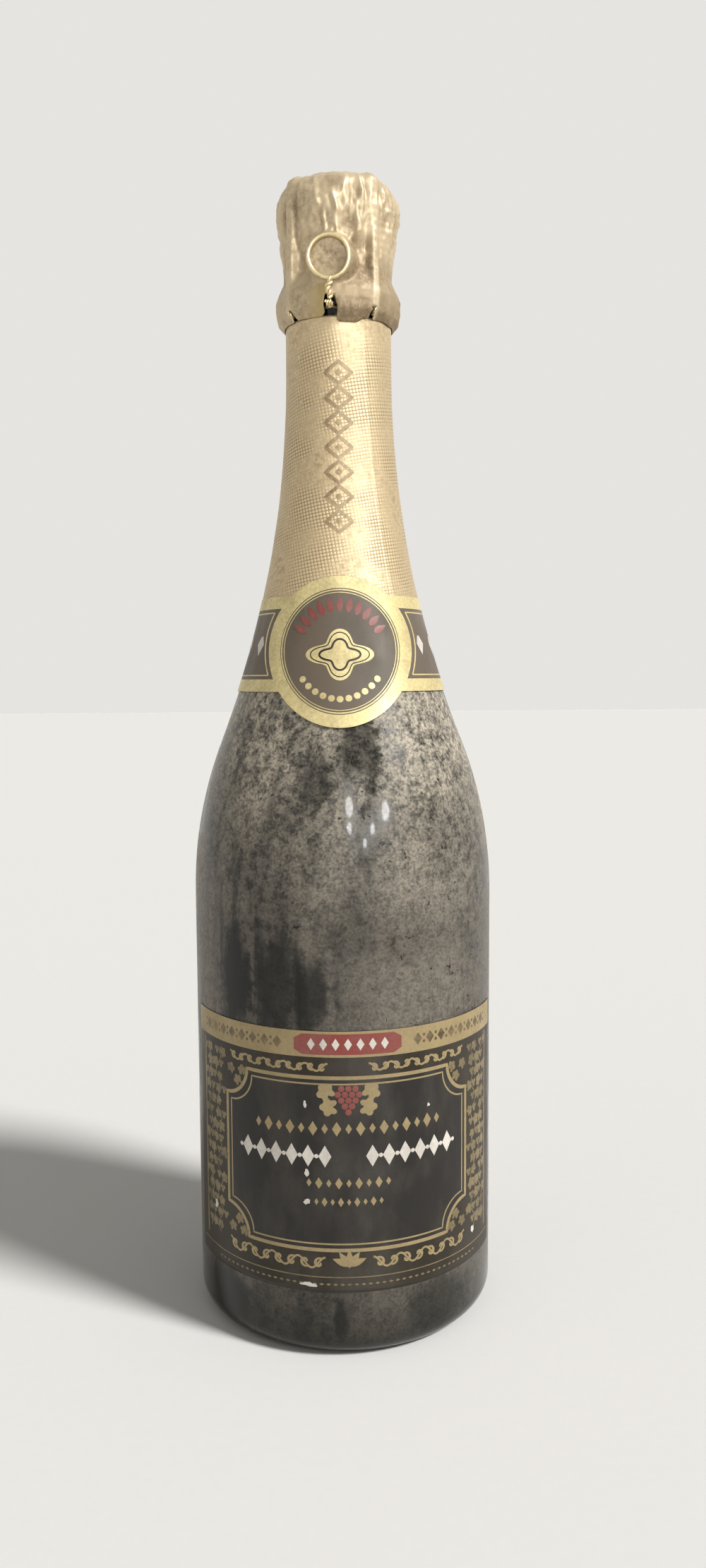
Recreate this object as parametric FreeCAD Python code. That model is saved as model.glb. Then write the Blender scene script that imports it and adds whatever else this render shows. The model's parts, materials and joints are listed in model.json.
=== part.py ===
import FreeCAD, Part
import math
import os
from FreeCAD import Vector

# A sealed 75 cl champagne bottle: dark glass, wine, mushroom cork, wire cage and foil.
# Millimetres. Z is up, the origin is the middle of the standing ring, the front faces -Y.

# Glass outside
BODY_RADIUS = 43.5        # outside radius of the straight body
LIP_HEIGHT = 300.0        # lip above the table
SHOULDER_START = 122.0    # height where the body begins to curve in
SHOULDER_ARC = 120.0      # radius of the convex shoulder arc
NECK_LENGTH = 28.0        # straight neck, ring and lip together
NECK_RADIUS = 14.85       # outside radius of the straight neck
HEEL_ARC = 10.0           # rounding between body and standing ring
FOOT_WIDTH = 3.0          # width of the standing ring
PUNT_DEPTH = 32.0         # hollow in the base
PUNT_TOP_RADIUS = 8.0     # radius where the punt's cone meets its top
PUNT_ARC = 9.0            # rounding of the punt's top
PUNT_EDGE = 2.0           # rounding between standing ring and punt

# Glass inside
BODY_WALL = 4.5           # wall of the straight body
NECK_WALL = 4.9           # wall of the lower neck
PUNT_WALL = 6.5           # wall of the punt
FLOOR_HEIGHT = 8.0        # lowest inside point above the table
INNER_HEEL = 4.5          # rounding between floor and wall
INNER_VALLEY = 2.0        # rounding between floor and punt
BORE_LENGTH = 40.0        # inside of the neck from its curve to the lip
MOUTH_RADIUS = 8.9        # bore at the cork
MOUTH_DEPTH = 28.0        # length of the straight bore below the lip
MOUTH_FLARE = 0.8         # chamfer inside the lip

# Ring and lip of the mouth
RING_PROUD = 0.55         # ring that the wire cage holds on to, outside the neck
RING_DROP = 14.5          # underside of the ring below the lip
RING_HEIGHT = 6.5         # height of the ring
RING_SLOPE = 1.5          # slope from the ring up to the waist
RING_ARC = 1.4            # rounding of the ring
WAIST_INSET = 1.55        # waist between lip and ring, inside the neck's outline
WAIST_HEIGHT = 2.2        # straight height of the waist
LIP_INSET = 0.85          # outside of the lip, inside the neck's outline
LIP_SLOPE = 0.8           # slope from the waist up to the lip
LIP_ARC = 1.5             # rounding of the lip
GROOVE_INSET = 0.5        # drawn-in neck under the ring, inside the neck's outline
GROOVE_HEIGHT = 2.6       # straight height of the drawn-in neck
GROOVE_SLOPE = 3.0        # slope from neck to groove

# Wine
FILL_DROP = 78.0          # wine surface below the lip
WINE_CLEARANCE = 0.1      # room between wine and glass

# Cork
CORK_DEPTH = 25.0         # length inside the neck
CORK_CLEARANCE = 0.05     # running fit in the bore
DISC_THICKNESS = 5.5      # each natural-cork disc
CORK_HEAD_PROUD = 0.55    # mushroom head outside the neck
CORK_HEAD_HEIGHT = 19.6   # head above the lip
CORK_FLARE = 6.5          # height over which the head flares out
CORK_GAP = 0.3            # room between lip and head
CORK_FLARE_ARC = 3.5      # rounding under the head
CORK_TOP_ARC = 2.2        # rounding of the head's upper edge

# Wire cage
CAGE_TURN = -7.0          # degrees, the whole cage is turned a little to the left
LEG_SPREAD = 44.0         # degrees from the cage's front or back to each leg
CAGE_CLEARANCE = 0.3      # room between the cage and cork, ring or foil
WIRE_FIT = 0.08           # room between wires that lie on each other
CAP_INSET = 2.1           # brim of the pressed cap inside the edge of the cork's head
CROWN_INSET = 4.5         # raised middle of the cap inside the edge of the cork's head
CAP_HEIGHT = 2.5          # cap over all
CAP_SHEET = 0.3           # tinplate thickness
CAP_ARC = 1.2             # rounding of the crown's edge
CAP_SEAT = 0.05           # room between cork and cap
LEG_WIRE = 1.0            # diameter of legs and top ring
LEG_BEND = 2.2            # bend of a leg over the head
HOOK_BEND = 1.0           # bend of a leg's hook under the belt
BELT_WIRE = 0.9           # diameter of the belt wire
BELT_FIT = 0.1            # room between belt and glass
BELT_BUMP = 1.0           # bend of the belt round each leg
BELT_FILLET = 2.0         # bend of the belt beside each leg
BELT_END_BEND = 0.9       # bend of the belt ends towards the twist
BELT_END_LENGTH = 0.3     # straight belt ends
TWIST_RADIUS = 0.9        # twisted pair of belt ends
LOOP_RADIUS = 5.6         # pull loop, to the middle of its wire
LOOP_WIRE = 1.1           # diameter of the loop's wire
LOOP_RISE = 12.2          # loop centre above the belt
KNUCKLE_RADIUS = 1.05     # bend that the loop folds on
KNUCKLE_WIDTH = 2.6       # width of that bend
FOLD_GAP = 0.15           # room between knuckle and stem

# Foil cap over cork and cage
FOIL = 0.15               # thickness of the foil
FOIL_CLEARANCE = 0.1      # room between foil and the legs that it is pressed on
RIM_DROP = 16.8           # lower edge of the foil cap below the lip
RIM_SLOPE = 1.2           # rise of the underside from the rim outwards
RIM_INSET = 0.5           # underside ends inside the collar by this
COLLAR_SLACK = 2.2        # foil outside the ring
COLLAR_LOW = 12.6         # collar's lower bend below the lip
COLLAR_HIGH = 10.2        # collar's upper bend below the lip
WAIST_SLACK = 1.2         # foil outside the lip
WAIST_LOW = 4.8           # waist's lower bend below the lip
WAIST_HIGH = 0.5          # waist's upper bend above the lip
HEAD_SLACK = 1.6          # foil outside the cork head
HEAD_LOW = 8.6            # head's lower bend below the cork's top
HEAD_EDGE = 0.3           # head's upper bend below the cork's top
CROWN_SLACK = 0.5         # foil above the edge of the cap
TOP_SLACK = 1.45          # foil above the middle of the cap
FOIL_ARC = 2.4            # rounding of collar and waist
FOIL_EDGE_ARC = 4.0       # rounding of the head
TEAR_WIDTH = 3.4          # tear in the foil where the twist comes through
TEAR_ROOM = 0.6           # tear above the twist

# Neck foil and paper labels
GLUE = 0.05               # room between a skin and what it is glued on
NECK_FOIL_LAP = 4.6       # lower edge of the neck foil above the middle of the neck label
NECK_FOIL_GAP = 0.4       # gap between neck foil and foil cap
PAPER = 0.15              # thickness of label paper
BAND_DROP = 11.0          # neck label, lower edge of the side bands below its middle
BAND_RISE = 15.3          # neck label, upper edge of the side bands above its middle
BAND_SPREAD = 150.0       # degrees that the bands reach each way round the neck
MEDAL_DROP = 108.6        # middle of the neck label's round front below the lip
MEDAL_HALF_WIDTH = 19.8   # seen from the front
MEDAL_HALF_HEIGHT = 20.6  # seen from the front
LABEL_LOW = 19.2          # body label, lower edge
LABEL_HIGH = 91.2         # body label, upper edge
LABEL_SPREAD = 72.0       # degrees that the body label reaches each way
LABEL_TURN = 2.0          # degrees, the body label is turned a little to the right

OVERRUN = 5.0             # how far cutting shapes reach past what they cut
RUN_SHARE = 0.96          # share of a run that its two roundings may use
MILLILITRE = 1000.0       # cubic millimetres
FULL_TURN = 360.0
HALF_TURN = 180.0
FRONT = -90.0             # degrees, direction of the front
AXIS = Vector(0, 0, 1)
ORIGIN = Vector(0, 0, 0)

# Places worked out from the sizes above
FOOT_INNER = BODY_RADIUS - HEEL_ARC - FOOT_WIDTH
NECK_START = LIP_HEIGHT - NECK_LENGTH
BORE_START = LIP_HEIGHT - BORE_LENGTH
RING_RADIUS = NECK_RADIUS + RING_PROUD
WAIST_RADIUS = NECK_RADIUS - WAIST_INSET
LIP_RADIUS = NECK_RADIUS - LIP_INSET
GROOVE_RADIUS = NECK_RADIUS - GROOVE_INSET
CORK_HEAD_RADIUS = NECK_RADIUS + CORK_HEAD_PROUD
RING_BOTTOM = LIP_HEIGHT - RING_DROP
BELT_HEIGHT = RING_BOTTOM - BELT_WIRE / 2 - BELT_FIT
BELT_RADIUS = GROOVE_RADIUS + BELT_FIT + BELT_WIRE / 2
BELT_END_SPREAD = (BELT_WIRE + WIRE_FIT) / 2
HOOK_REACH = RING_RADIUS + CAGE_CLEARANCE
BELT_AT_LEG = HOOK_REACH + BELT_WIRE / 2
HOOK_HEIGHT = BELT_HEIGHT - BELT_WIRE / 2 - WIRE_FIT - LEG_WIRE / 2
LEG_LOW_RADIUS = BELT_AT_LEG + BELT_WIRE / 2 + WIRE_FIT + LEG_WIRE / 2
LEG_HIGH_RADIUS = CORK_HEAD_RADIUS + CAGE_CLEARANCE + LEG_WIRE / 2
CORK_TOP = LIP_HEIGHT + CORK_HEAD_HEIGHT
CAP_RADIUS = CORK_HEAD_RADIUS - CAP_INSET
CAP_CROWN_RADIUS = CORK_HEAD_RADIUS - CROWN_INSET
CAP_BOTTOM = CORK_TOP + CAP_SEAT
CAP_TOP = CAP_BOTTOM + CAP_HEIGHT
TOP_RING_RADIUS = CAP_CROWN_RADIUS + WIRE_FIT + LEG_WIRE / 2
TOP_RING_HEIGHT = CAP_BOTTOM + CAP_SHEET + WIRE_FIT + LEG_WIRE / 2
COLLAR_RADIUS = RING_RADIUS + COLLAR_SLACK
LOOP_PLANE = COLLAR_RADIUS + CAGE_CLEARANCE + KNUCKLE_RADIUS
LOOP_HEIGHT = BELT_HEIGHT + LOOP_RISE
RIM_HEIGHT = LIP_HEIGHT - RIM_DROP
NECK_LABEL_OFFSET = GLUE + FOIL + GLUE
MEDAL_HEIGHT = LIP_HEIGHT - MEDAL_DROP
BAND_LOW = MEDAL_HEIGHT - BAND_DROP
BAND_HIGH = MEDAL_HEIGHT + BAND_RISE
NECK_FOIL_LOW = MEDAL_HEIGHT + NECK_FOIL_LAP


def rounded_path(corners, closed=False):
    """Lines and tangent arcs along corners (x, z, rounding) in the XZ plane."""
    count = len(corners)
    points = [Vector(x, 0, z) for x, z, rounding in corners]
    runs = [(points[(i + 1) % count] - points[i]).Length for i in range(count)]
    halves = []
    reaches = []
    for i, (x, z, rounding) in enumerate(corners):
        bends = rounding > 0 and (closed or 0 < i < count - 1)
        half = 0
        if bends:
            half = (points[i - 1] - points[i]).getAngle(points[(i + 1) % count] - points[i]) / 2
        halves.append(half)
        reaches.append(rounding / math.tan(half) if bends else 0)
    edges = []
    last = None
    first = None
    for i in range(count):
        corner = points[i]
        if reaches[i] > 0:
            before = RUN_SHARE * runs[i - 1] / (reaches[i - 1] + reaches[i])
            after = RUN_SHARE * runs[i] / (reaches[i] + reaches[(i + 1) % count])
            reach = reaches[i] * min(1, before, after)
            back = (points[i - 1] - corner).normalize()
            ahead = (points[(i + 1) % count] - corner).normalize()
            radius = reach * math.tan(halves[i])
            rise = radius / math.sin(halves[i]) - radius
            start = corner + back * reach
            end = corner + ahead * reach
            arc = Part.Arc(start, corner + (back + ahead).normalize() * rise, end).toShape()
        else:
            start = end = corner
            arc = None
        if last is not None:
            edges.append(Part.LineSegment(last, start).toShape())
        else:
            first = start
        if arc is not None:
            edges.append(arc)
        last = end
    if closed:
        edges.append(Part.LineSegment(last, first).toShape())
    return edges


def turned(edges):
    """Solid of revolution about Z of a closed outline."""
    return Part.Face(Part.Wire(Part.__sortEdges__(edges))).revolve(ORIGIN, AXIS, FULL_TURN)


def line(x0, z0, x1, z1):
    return Part.LineSegment(Vector(x0, 0, z0), Vector(x1, 0, z1)).toShape()


def shoulder(body, neck, neck_start, arc):
    """Convex arc off the body and the concave arc that meets it and ends straight at the neck."""
    fall = body - neck
    rise = neck_start - SHOULDER_START
    both = (fall ** 2 + rise ** 2) / (2 * fall)
    first = Vector(body - arc, 0, SHOULDER_START)
    second = Vector(neck + both - arc, 0, neck_start)
    meet = first + (second - first) * (arc / both)
    angle = math.atan2(rise, both - fall) / 2
    top = first + Vector(math.cos(angle), 0, math.sin(angle)) * arc
    low = second - Vector(math.cos(angle), 0, math.sin(angle)) * (both - arc)
    convex = Part.Arc(Vector(body, 0, SHOULDER_START), top, meet).toShape()
    concave = Part.Arc(meet, low, Vector(neck, 0, neck_start)).toShape()
    return [convex, concave]


def glass_outside():
    """The bottle as if it were solid."""
    base = rounded_path([
        (0, PUNT_DEPTH, 0),
        (PUNT_TOP_RADIUS, PUNT_DEPTH, PUNT_ARC),
        (FOOT_INNER, 0, PUNT_EDGE),
        (BODY_RADIUS, 0, HEEL_ARC),
        (BODY_RADIUS, SHOULDER_START, 0),
    ])
    ring_top = RING_BOTTOM + RING_HEIGHT
    waist_low = ring_top + RING_SLOPE
    waist_high = waist_low + WAIST_HEIGHT
    finish = rounded_path([
        (NECK_RADIUS, NECK_START, 0),
        (NECK_RADIUS, RING_BOTTOM - GROOVE_HEIGHT - GROOVE_SLOPE, GROOVE_SLOPE),
        (GROOVE_RADIUS, RING_BOTTOM - GROOVE_HEIGHT, GROOVE_SLOPE),
        (GROOVE_RADIUS, RING_BOTTOM, 0),
        (RING_RADIUS, RING_BOTTOM, RING_ARC),
        (RING_RADIUS, ring_top, RING_ARC),
        (WAIST_RADIUS, waist_low, RING_ARC),
        (WAIST_RADIUS, waist_high, LIP_SLOPE),
        (LIP_RADIUS, waist_high + LIP_SLOPE, LIP_SLOPE),
        (LIP_RADIUS, LIP_HEIGHT, LIP_ARC),
        (0, LIP_HEIGHT, 0),
    ])
    side = shoulder(BODY_RADIUS, NECK_RADIUS, NECK_START, SHOULDER_ARC)
    return turned(base + side + finish + [line(0, LIP_HEIGHT, 0, PUNT_DEPTH)])


def cavity(inset):
    """Inside of the bottle up to past the lip, drawn in all round by inset."""
    slope = math.atan2(FOOT_INNER - PUNT_TOP_RADIUS, PUNT_DEPTH)
    lift = (PUNT_WALL + inset) / math.sin(slope)
    floor = FLOOR_HEIGHT + inset
    punt_top = PUNT_DEPTH + PUNT_WALL + inset
    wall = BODY_RADIUS - BODY_WALL - inset
    bore = NECK_RADIUS - NECK_WALL - inset
    mouth = MOUTH_RADIUS - inset

    def punt_radius(height):
        return FOOT_INNER - (height - lift) * math.tan(slope)

    base = rounded_path([
        (0, punt_top, 0),
        (punt_radius(punt_top), punt_top, PUNT_ARC),
        (punt_radius(floor), floor, INNER_VALLEY),
        (wall, floor, INNER_HEEL),
        (wall, SHOULDER_START, 0),
    ])
    end = LIP_HEIGHT + OVERRUN
    throat = rounded_path([
        (bore, BORE_START, 0),
        (mouth, LIP_HEIGHT - MOUTH_DEPTH, 0),
        (mouth, LIP_HEIGHT - MOUTH_FLARE, 0),
        (mouth + MOUTH_FLARE + OVERRUN, end, 0),
        (0, end, 0),
    ])
    side = shoulder(wall, bore, BORE_START, SHOULDER_ARC - BODY_WALL - inset)
    return turned(base + side + throat + [line(0, end, 0, punt_top)])


def below(height):
    """Room for the whole bottle below a height."""
    return Part.makeCylinder(BODY_RADIUS + OVERRUN, height + OVERRUN, Vector(0, 0, -OVERRUN))


def cork_pieces():
    radius = MOUTH_RADIUS - CORK_CLEARANCE
    bottom = LIP_HEIGHT - CORK_DEPTH
    lower = Part.makeCylinder(radius, DISC_THICKNESS, Vector(0, 0, bottom))
    upper = Part.makeCylinder(radius, DISC_THICKNESS, Vector(0, 0, bottom + DISC_THICKNESS))
    start = bottom + DISC_THICKNESS + DISC_THICKNESS
    body = turned(rounded_path([
        (0, start, 0),
        (radius, start, 0),
        (radius, LIP_HEIGHT + CORK_GAP, 0),
        (CORK_HEAD_RADIUS, LIP_HEIGHT + CORK_FLARE, CORK_FLARE_ARC),
        (CORK_HEAD_RADIUS, CORK_TOP, CORK_TOP_ARC),
        (0, CORK_TOP, 0),
    ], closed=True))
    return {"cork_body": body, "cork_disc_upper": upper, "cork_disc_lower": lower}


def cage_cap():
    """Pressed cap: a raised crown with a flat brim."""
    inner = CAP_CROWN_RADIUS - CAP_SHEET
    return turned(rounded_path([
        (0, CAP_TOP, 0),
        (CAP_CROWN_RADIUS, CAP_TOP, CAP_ARC),
        (CAP_CROWN_RADIUS, CAP_BOTTOM + CAP_SHEET, 0),
        (CAP_RADIUS, CAP_BOTTOM + CAP_SHEET, 0),
        (CAP_RADIUS, CAP_BOTTOM, 0),
        (inner, CAP_BOTTOM, 0),
        (inner, CAP_TOP - CAP_SHEET, CAP_ARC - CAP_SHEET),
        (0, CAP_TOP - CAP_SHEET, 0),
    ], closed=True))


def tube(edges, radius):
    """Round wire along a path."""
    start = edges[0].valueAt(edges[0].FirstParameter)
    heading = edges[0].tangentAt(edges[0].FirstParameter)
    section = Part.Wire([Part.Circle(start, heading, radius).toShape()])
    return Part.Wire(edges).makePipeShell([section], True, False)


def leg(radius):
    """One leg in the XZ plane: out from the top ring, down the head, and hooked under the belt."""
    start = TOP_RING_RADIUS + LEG_WIRE / 2 + WIRE_FIT
    return tube(rounded_path([
        (start, TOP_RING_HEIGHT, 0),
        (LEG_HIGH_RADIUS, TOP_RING_HEIGHT, LEG_BEND),
        (LEG_LOW_RADIUS, HOOK_HEIGHT, HOOK_BEND),
        (HOOK_REACH, HOOK_HEIGHT, 0),
    ]), radius)


def leg_angles():
    """Directions of the legs, counted round from the front."""
    back = FRONT + HALF_TURN
    return {
        "cage_leg_front_right": FRONT + LEG_SPREAD,
        "cage_leg_back_right": back - LEG_SPREAD,
        "cage_leg_back_left": back + LEG_SPREAD,
        "cage_leg_front_left": FRONT + FULL_TURN - LEG_SPREAD,
    }


def legs(radius):
    return {name: leg(radius).rotated(ORIGIN, AXIS, angle) for name, angle in leg_angles().items()}


def at(radius, angle):
    """Point of the belt's plane at a radius and an angle in degrees."""
    turn = math.radians(angle)
    return Vector(radius * math.cos(turn), radius * math.sin(turn), BELT_HEIGHT)


def short_arc(start, end, centre):
    """Arc of less than half a turn about a centre."""
    radius = (start - centre).Length
    middle = ((start - centre) + (end - centre)).normalize()
    return Part.Arc(start, centre + middle * radius, end).toShape()


def belt():
    """Belt wire: drawn in under the ring, out round each leg, with both ends turned out at the front."""
    apart = BELT_END_SPREAD + BELT_END_BEND
    reach = BELT_RADIUS + BELT_END_BEND
    depth = math.sqrt(reach ** 2 - apart ** 2)
    end_turn = math.degrees(math.asin(apart / reach))
    bump_radius = BELT_AT_LEG - BELT_BUMP
    fillet_radius = BELT_RADIUS + BELT_FILLET
    touch = BELT_BUMP + BELT_FILLET
    lean = (fillet_radius ** 2 + bump_radius ** 2 - touch ** 2) / (2 * fillet_radius * bump_radius)
    half = math.degrees(math.acos(lean))
    middle = Vector(0, 0, BELT_HEIGHT)

    bend = Vector(apart, -depth, BELT_HEIGHT)
    turn_in = Vector(BELT_END_SPREAD, -depth, BELT_HEIGHT)
    tip = turn_in - Vector(0, BELT_END_LENGTH, 0)
    angle = FRONT + end_turn
    edges = [Part.LineSegment(tip, turn_in).toShape()]
    edges.append(short_arc(turn_in, at(BELT_RADIUS, angle), bend))
    for leg_angle in sorted(leg_angles().values()):
        edges.append(short_arc(at(BELT_RADIUS, angle), at(BELT_RADIUS, leg_angle - half), middle))
        bump = at(bump_radius, leg_angle)
        before = at(fillet_radius, leg_angle - half)
        after = at(fillet_radius, leg_angle + half)
        rise = bump + (before - bump) * (BELT_BUMP / touch)
        fall = bump + (after - bump) * (BELT_BUMP / touch)
        edges.append(short_arc(at(BELT_RADIUS, leg_angle - half), rise, before))
        edges.append(Part.Arc(rise, at(BELT_AT_LEG, leg_angle), fall).toShape())
        edges.append(short_arc(fall, at(BELT_RADIUS, leg_angle + half), after))
        angle = leg_angle + half
    last = FRONT + FULL_TURN - end_turn
    edges.append(short_arc(at(BELT_RADIUS, angle), at(BELT_RADIUS, last), middle))
    turn_out = Vector(-BELT_END_SPREAD, -depth, BELT_HEIGHT)
    edges.append(short_arc(at(BELT_RADIUS, last), turn_out, Vector(-apart, -depth, BELT_HEIGHT)))
    edges.append(Part.LineSegment(turn_out, turn_out - Vector(0, BELT_END_LENGTH, 0)).toShape())
    return tube(edges, BELT_WIRE / 2)


def twist():
    """Root of the twist, straight out from the belt ends, with the knuckle that the loop folds on."""
    apart = BELT_END_SPREAD + BELT_END_BEND
    root = math.sqrt((BELT_RADIUS + BELT_END_BEND) ** 2 - apart ** 2) + BELT_END_LENGTH + WIRE_FIT
    outwards = Vector(0, -1, 0)
    stub = Part.makeCylinder(TWIST_RADIUS, LOOP_PLANE - root, Vector(0, -root, BELT_HEIGHT), outwards)
    knuckle_start = Vector(-KNUCKLE_WIDTH / 2, -LOOP_PLANE, BELT_HEIGHT)
    knuckle = Part.makeCylinder(KNUCKLE_RADIUS, KNUCKLE_WIDTH, knuckle_start, Vector(1, 0, 0))
    return stub.fuse(knuckle)


def loop():
    """Twisted stem and the ring that the fingers pull."""
    start = BELT_HEIGHT + KNUCKLE_RADIUS + FOLD_GAP
    height = LOOP_HEIGHT - LOOP_RADIUS - start
    stem = Part.makeCylinder(TWIST_RADIUS, height, Vector(0, -LOOP_PLANE, start))
    centre = Vector(0, -LOOP_PLANE, LOOP_HEIGHT)
    ring = Part.makeTorus(LOOP_RADIUS, LOOP_WIRE / 2, centre, Vector(0, 1, 0))
    return stem.fuse(ring)


def foil_side():
    """Outline of the foil cap from its rim to the middle of its top."""
    head = CORK_HEAD_RADIUS + HEAD_SLACK
    waist = LIP_RADIUS + WAIST_SLACK
    rim = NECK_RADIUS + GLUE + FOIL + CAGE_CLEARANCE
    return [
        (rim, RIM_HEIGHT, 0),
        (COLLAR_RADIUS - RIM_INSET, RIM_HEIGHT + RIM_SLOPE, RIM_INSET),
        (COLLAR_RADIUS, LIP_HEIGHT - COLLAR_LOW, FOIL_ARC),
        (COLLAR_RADIUS, LIP_HEIGHT - COLLAR_HIGH, FOIL_ARC),
        (waist, LIP_HEIGHT - WAIST_LOW, FOIL_ARC),
        (waist, LIP_HEIGHT + WAIST_HIGH, FOIL_ARC),
        (head, CORK_TOP - HEAD_LOW, FOIL_EDGE_ARC),
        (head, CORK_TOP - HEAD_EDGE, FOIL_EDGE_ARC),
        (CAP_CROWN_RADIUS, CAP_TOP + CROWN_SLACK, FOIL_EDGE_ARC),
        (0, CAP_TOP + TOP_SLACK, 0),
    ]


def drawn_in(corners, amount):
    """The same corners, each run moved in towards the axis side by amount."""
    normals = []
    for (x0, z0, r0), (x1, z1, r1) in zip(corners, corners[1:]):
        run = Vector(x1 - x0, 0, z1 - z0).normalize()
        normals.append(Vector(-run.z, 0, run.x))
    moved = []
    for i, (x, z, rounding) in enumerate(corners):
        first = normals[max(i - 1, 0)]
        second = normals[min(i, len(normals) - 1)]
        shift = (first + second) * (amount / (1 + first.dot(second)))
        moved.append((x + shift.x if x > 0 else 0, z + shift.z, rounding))
    return moved


def foil_cap():
    """Thin foil drawn over cork, cap and legs, torn open at the front where the twist comes through."""
    outer = foil_side()
    inner = drawn_in(outer, FOIL)
    bottom = RIM_HEIGHT - OVERRUN
    shell = turned(rounded_path([(0, RIM_HEIGHT, 0)] + outer, closed=True))
    room = turned(rounded_path([(0, bottom, 0), (inner[0][0], bottom, 0)] + inner, closed=True))
    over_legs = list(legs(LEG_WIRE / 2 + FOIL_CLEARANCE + FOIL).values())
    round_legs = list(legs(LEG_WIRE / 2 + FOIL_CLEARANCE).values())
    tear_top = BELT_HEIGHT + TWIST_RADIUS + TEAR_ROOM
    tear_start = Vector(-TEAR_WIDTH / 2, -LOOP_PLANE, bottom)
    tear = Part.makeBox(TEAR_WIDTH, LOOP_PLANE, tear_top - bottom, tear_start)
    return shell.fuse(over_legs).cut([room, tear] + round_legs)


def skin(offset, thickness, low, high):
    """Skin on the outside of the glass between two heights."""
    solids = []
    for reach in (offset + thickness, offset):
        body = BODY_RADIUS + reach
        neck = NECK_RADIUS + reach
        outline = [line(0, 0, body, 0), line(body, 0, body, SHOULDER_START)]
        outline += shoulder(body, neck, NECK_START, SHOULDER_ARC + reach)
        outline += [line(neck, NECK_START, neck, LIP_HEIGHT), line(neck, LIP_HEIGHT, 0, LIP_HEIGHT)]
        solids.append(turned(outline + [line(0, LIP_HEIGHT, 0, 0)]))
    between = Part.makeCylinder(BODY_RADIUS + OVERRUN, high - low, Vector(0, 0, low))
    return solids[0].cut(solids[1]).common(between)


def neck_label():
    """Paper collar: a round front on a band that reaches round the neck."""
    low = min(BAND_LOW, MEDAL_HEIGHT - MEDAL_HALF_HEIGHT)
    high = max(BAND_HIGH, MEDAL_HEIGHT + MEDAL_HALF_HEIGHT)
    paper = skin(NECK_LABEL_OFFSET, PAPER, low - OVERRUN, high + OVERRUN)
    reach = BODY_RADIUS + OVERRUN
    spread = BAND_SPREAD + BAND_SPREAD
    band = Part.makeCylinder(reach, BAND_HIGH - BAND_LOW, Vector(0, 0, BAND_LOW), AXIS, spread)
    band.rotate(ORIGIN, AXIS, FRONT - BAND_SPREAD)
    halves = (MEDAL_HALF_WIDTH, MEDAL_HALF_HEIGHT)
    front = Part.Face(Part.Wire([Part.Ellipse(ORIGIN, max(halves), min(halves)).toShape()]))
    if MEDAL_HALF_HEIGHT > MEDAL_HALF_WIDTH:
        front.rotate(ORIGIN, AXIS, -FRONT)
    front.rotate(ORIGIN, Vector(1, 0, 0), -FRONT)
    front.translate(Vector(0, 0, MEDAL_HEIGHT))
    medal = front.extrude(Vector(0, -reach, 0))
    return paper.common(band.fuse(medal)).removeSplitter()


def body_label():
    """Main label round the front of the body."""
    inner = BODY_RADIUS + GLUE
    height = LABEL_HIGH - LABEL_LOW
    spread = LABEL_SPREAD + LABEL_SPREAD
    sheet = Part.makeCylinder(inner + PAPER, height, Vector(0, 0, LABEL_LOW), AXIS, spread)
    sheet = sheet.cut(Part.makeCylinder(inner, height, Vector(0, 0, LABEL_LOW)))
    return sheet.rotated(ORIGIN, AXIS, FRONT - LABEL_SPREAD + LABEL_TURN)


def main():
    nodes = {}
    inside = cavity(0)
    nodes["glass_bottle"] = glass_outside().cut(inside)
    nodes["wine"] = cavity(WINE_CLEARANCE).common(below(LIP_HEIGHT - FILL_DROP))
    nodes["neck_foil"] = skin(GLUE, FOIL, NECK_FOIL_LOW, RIM_HEIGHT - NECK_FOIL_GAP)
    nodes["neck_label"] = neck_label()
    nodes["body_label"] = body_label()
    nodes.update(cork_pieces())

    cage = {"cage_cap": cage_cap(), "cage_belt": belt(), "wire_twist": twist(), "pull_loop": loop()}
    cage["cage_top_ring"] = Part.makeTorus(TOP_RING_RADIUS, LEG_WIRE / 2, Vector(0, 0, TOP_RING_HEIGHT))
    cage.update(legs(LEG_WIRE / 2))
    cage["foil_cap"] = foil_cap()
    for name, shape in cage.items():
        nodes[name] = shape.rotated(ORIGIN, AXIS, CAGE_TURN)

    os.makedirs("parts", exist_ok=True)
    for name, shape in nodes.items():
        solids = shape.Solids
        solid = solids[0] if len(solids) == 1 else Part.makeCompound(solids)
        solid.exportStep("parts/" + name + ".step")
        print(name, len(solids), solid.isValid(), round(solid.Volume, 2))
    print("brimful capacity ml", round(inside.common(below(LIP_HEIGHT)).Volume / MILLILITRE, 1))


main()
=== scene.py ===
"""Looks of a sealed champagne bottle from an old cellar, built around its packed solids.

Metres. Z is up, the front faces -Y, and angles round the bottle count from the front to the right.
"""

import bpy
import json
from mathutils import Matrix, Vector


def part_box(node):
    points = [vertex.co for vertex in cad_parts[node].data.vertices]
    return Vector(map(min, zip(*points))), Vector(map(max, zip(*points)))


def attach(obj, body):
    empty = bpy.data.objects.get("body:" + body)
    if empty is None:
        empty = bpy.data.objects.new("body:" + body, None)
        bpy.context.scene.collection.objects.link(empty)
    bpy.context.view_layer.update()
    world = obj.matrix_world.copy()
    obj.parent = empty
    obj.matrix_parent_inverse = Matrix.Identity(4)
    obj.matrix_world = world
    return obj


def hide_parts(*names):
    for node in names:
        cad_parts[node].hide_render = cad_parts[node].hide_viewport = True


bl_info = {
    "name": "Cellar Champagne Bottle",
    "version": (1, 0, 0),
    "blender": (4, 5, 0),
    "location": "3D View > Sidebar > Bottle",
    "description": "Builds glass, foils, cage and labels of a dusty champagne bottle around its solids",
    "category": "Add Mesh",
}

import json
import math
import random

import bmesh
import bpy
from mathutils import Vector, noise

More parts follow.
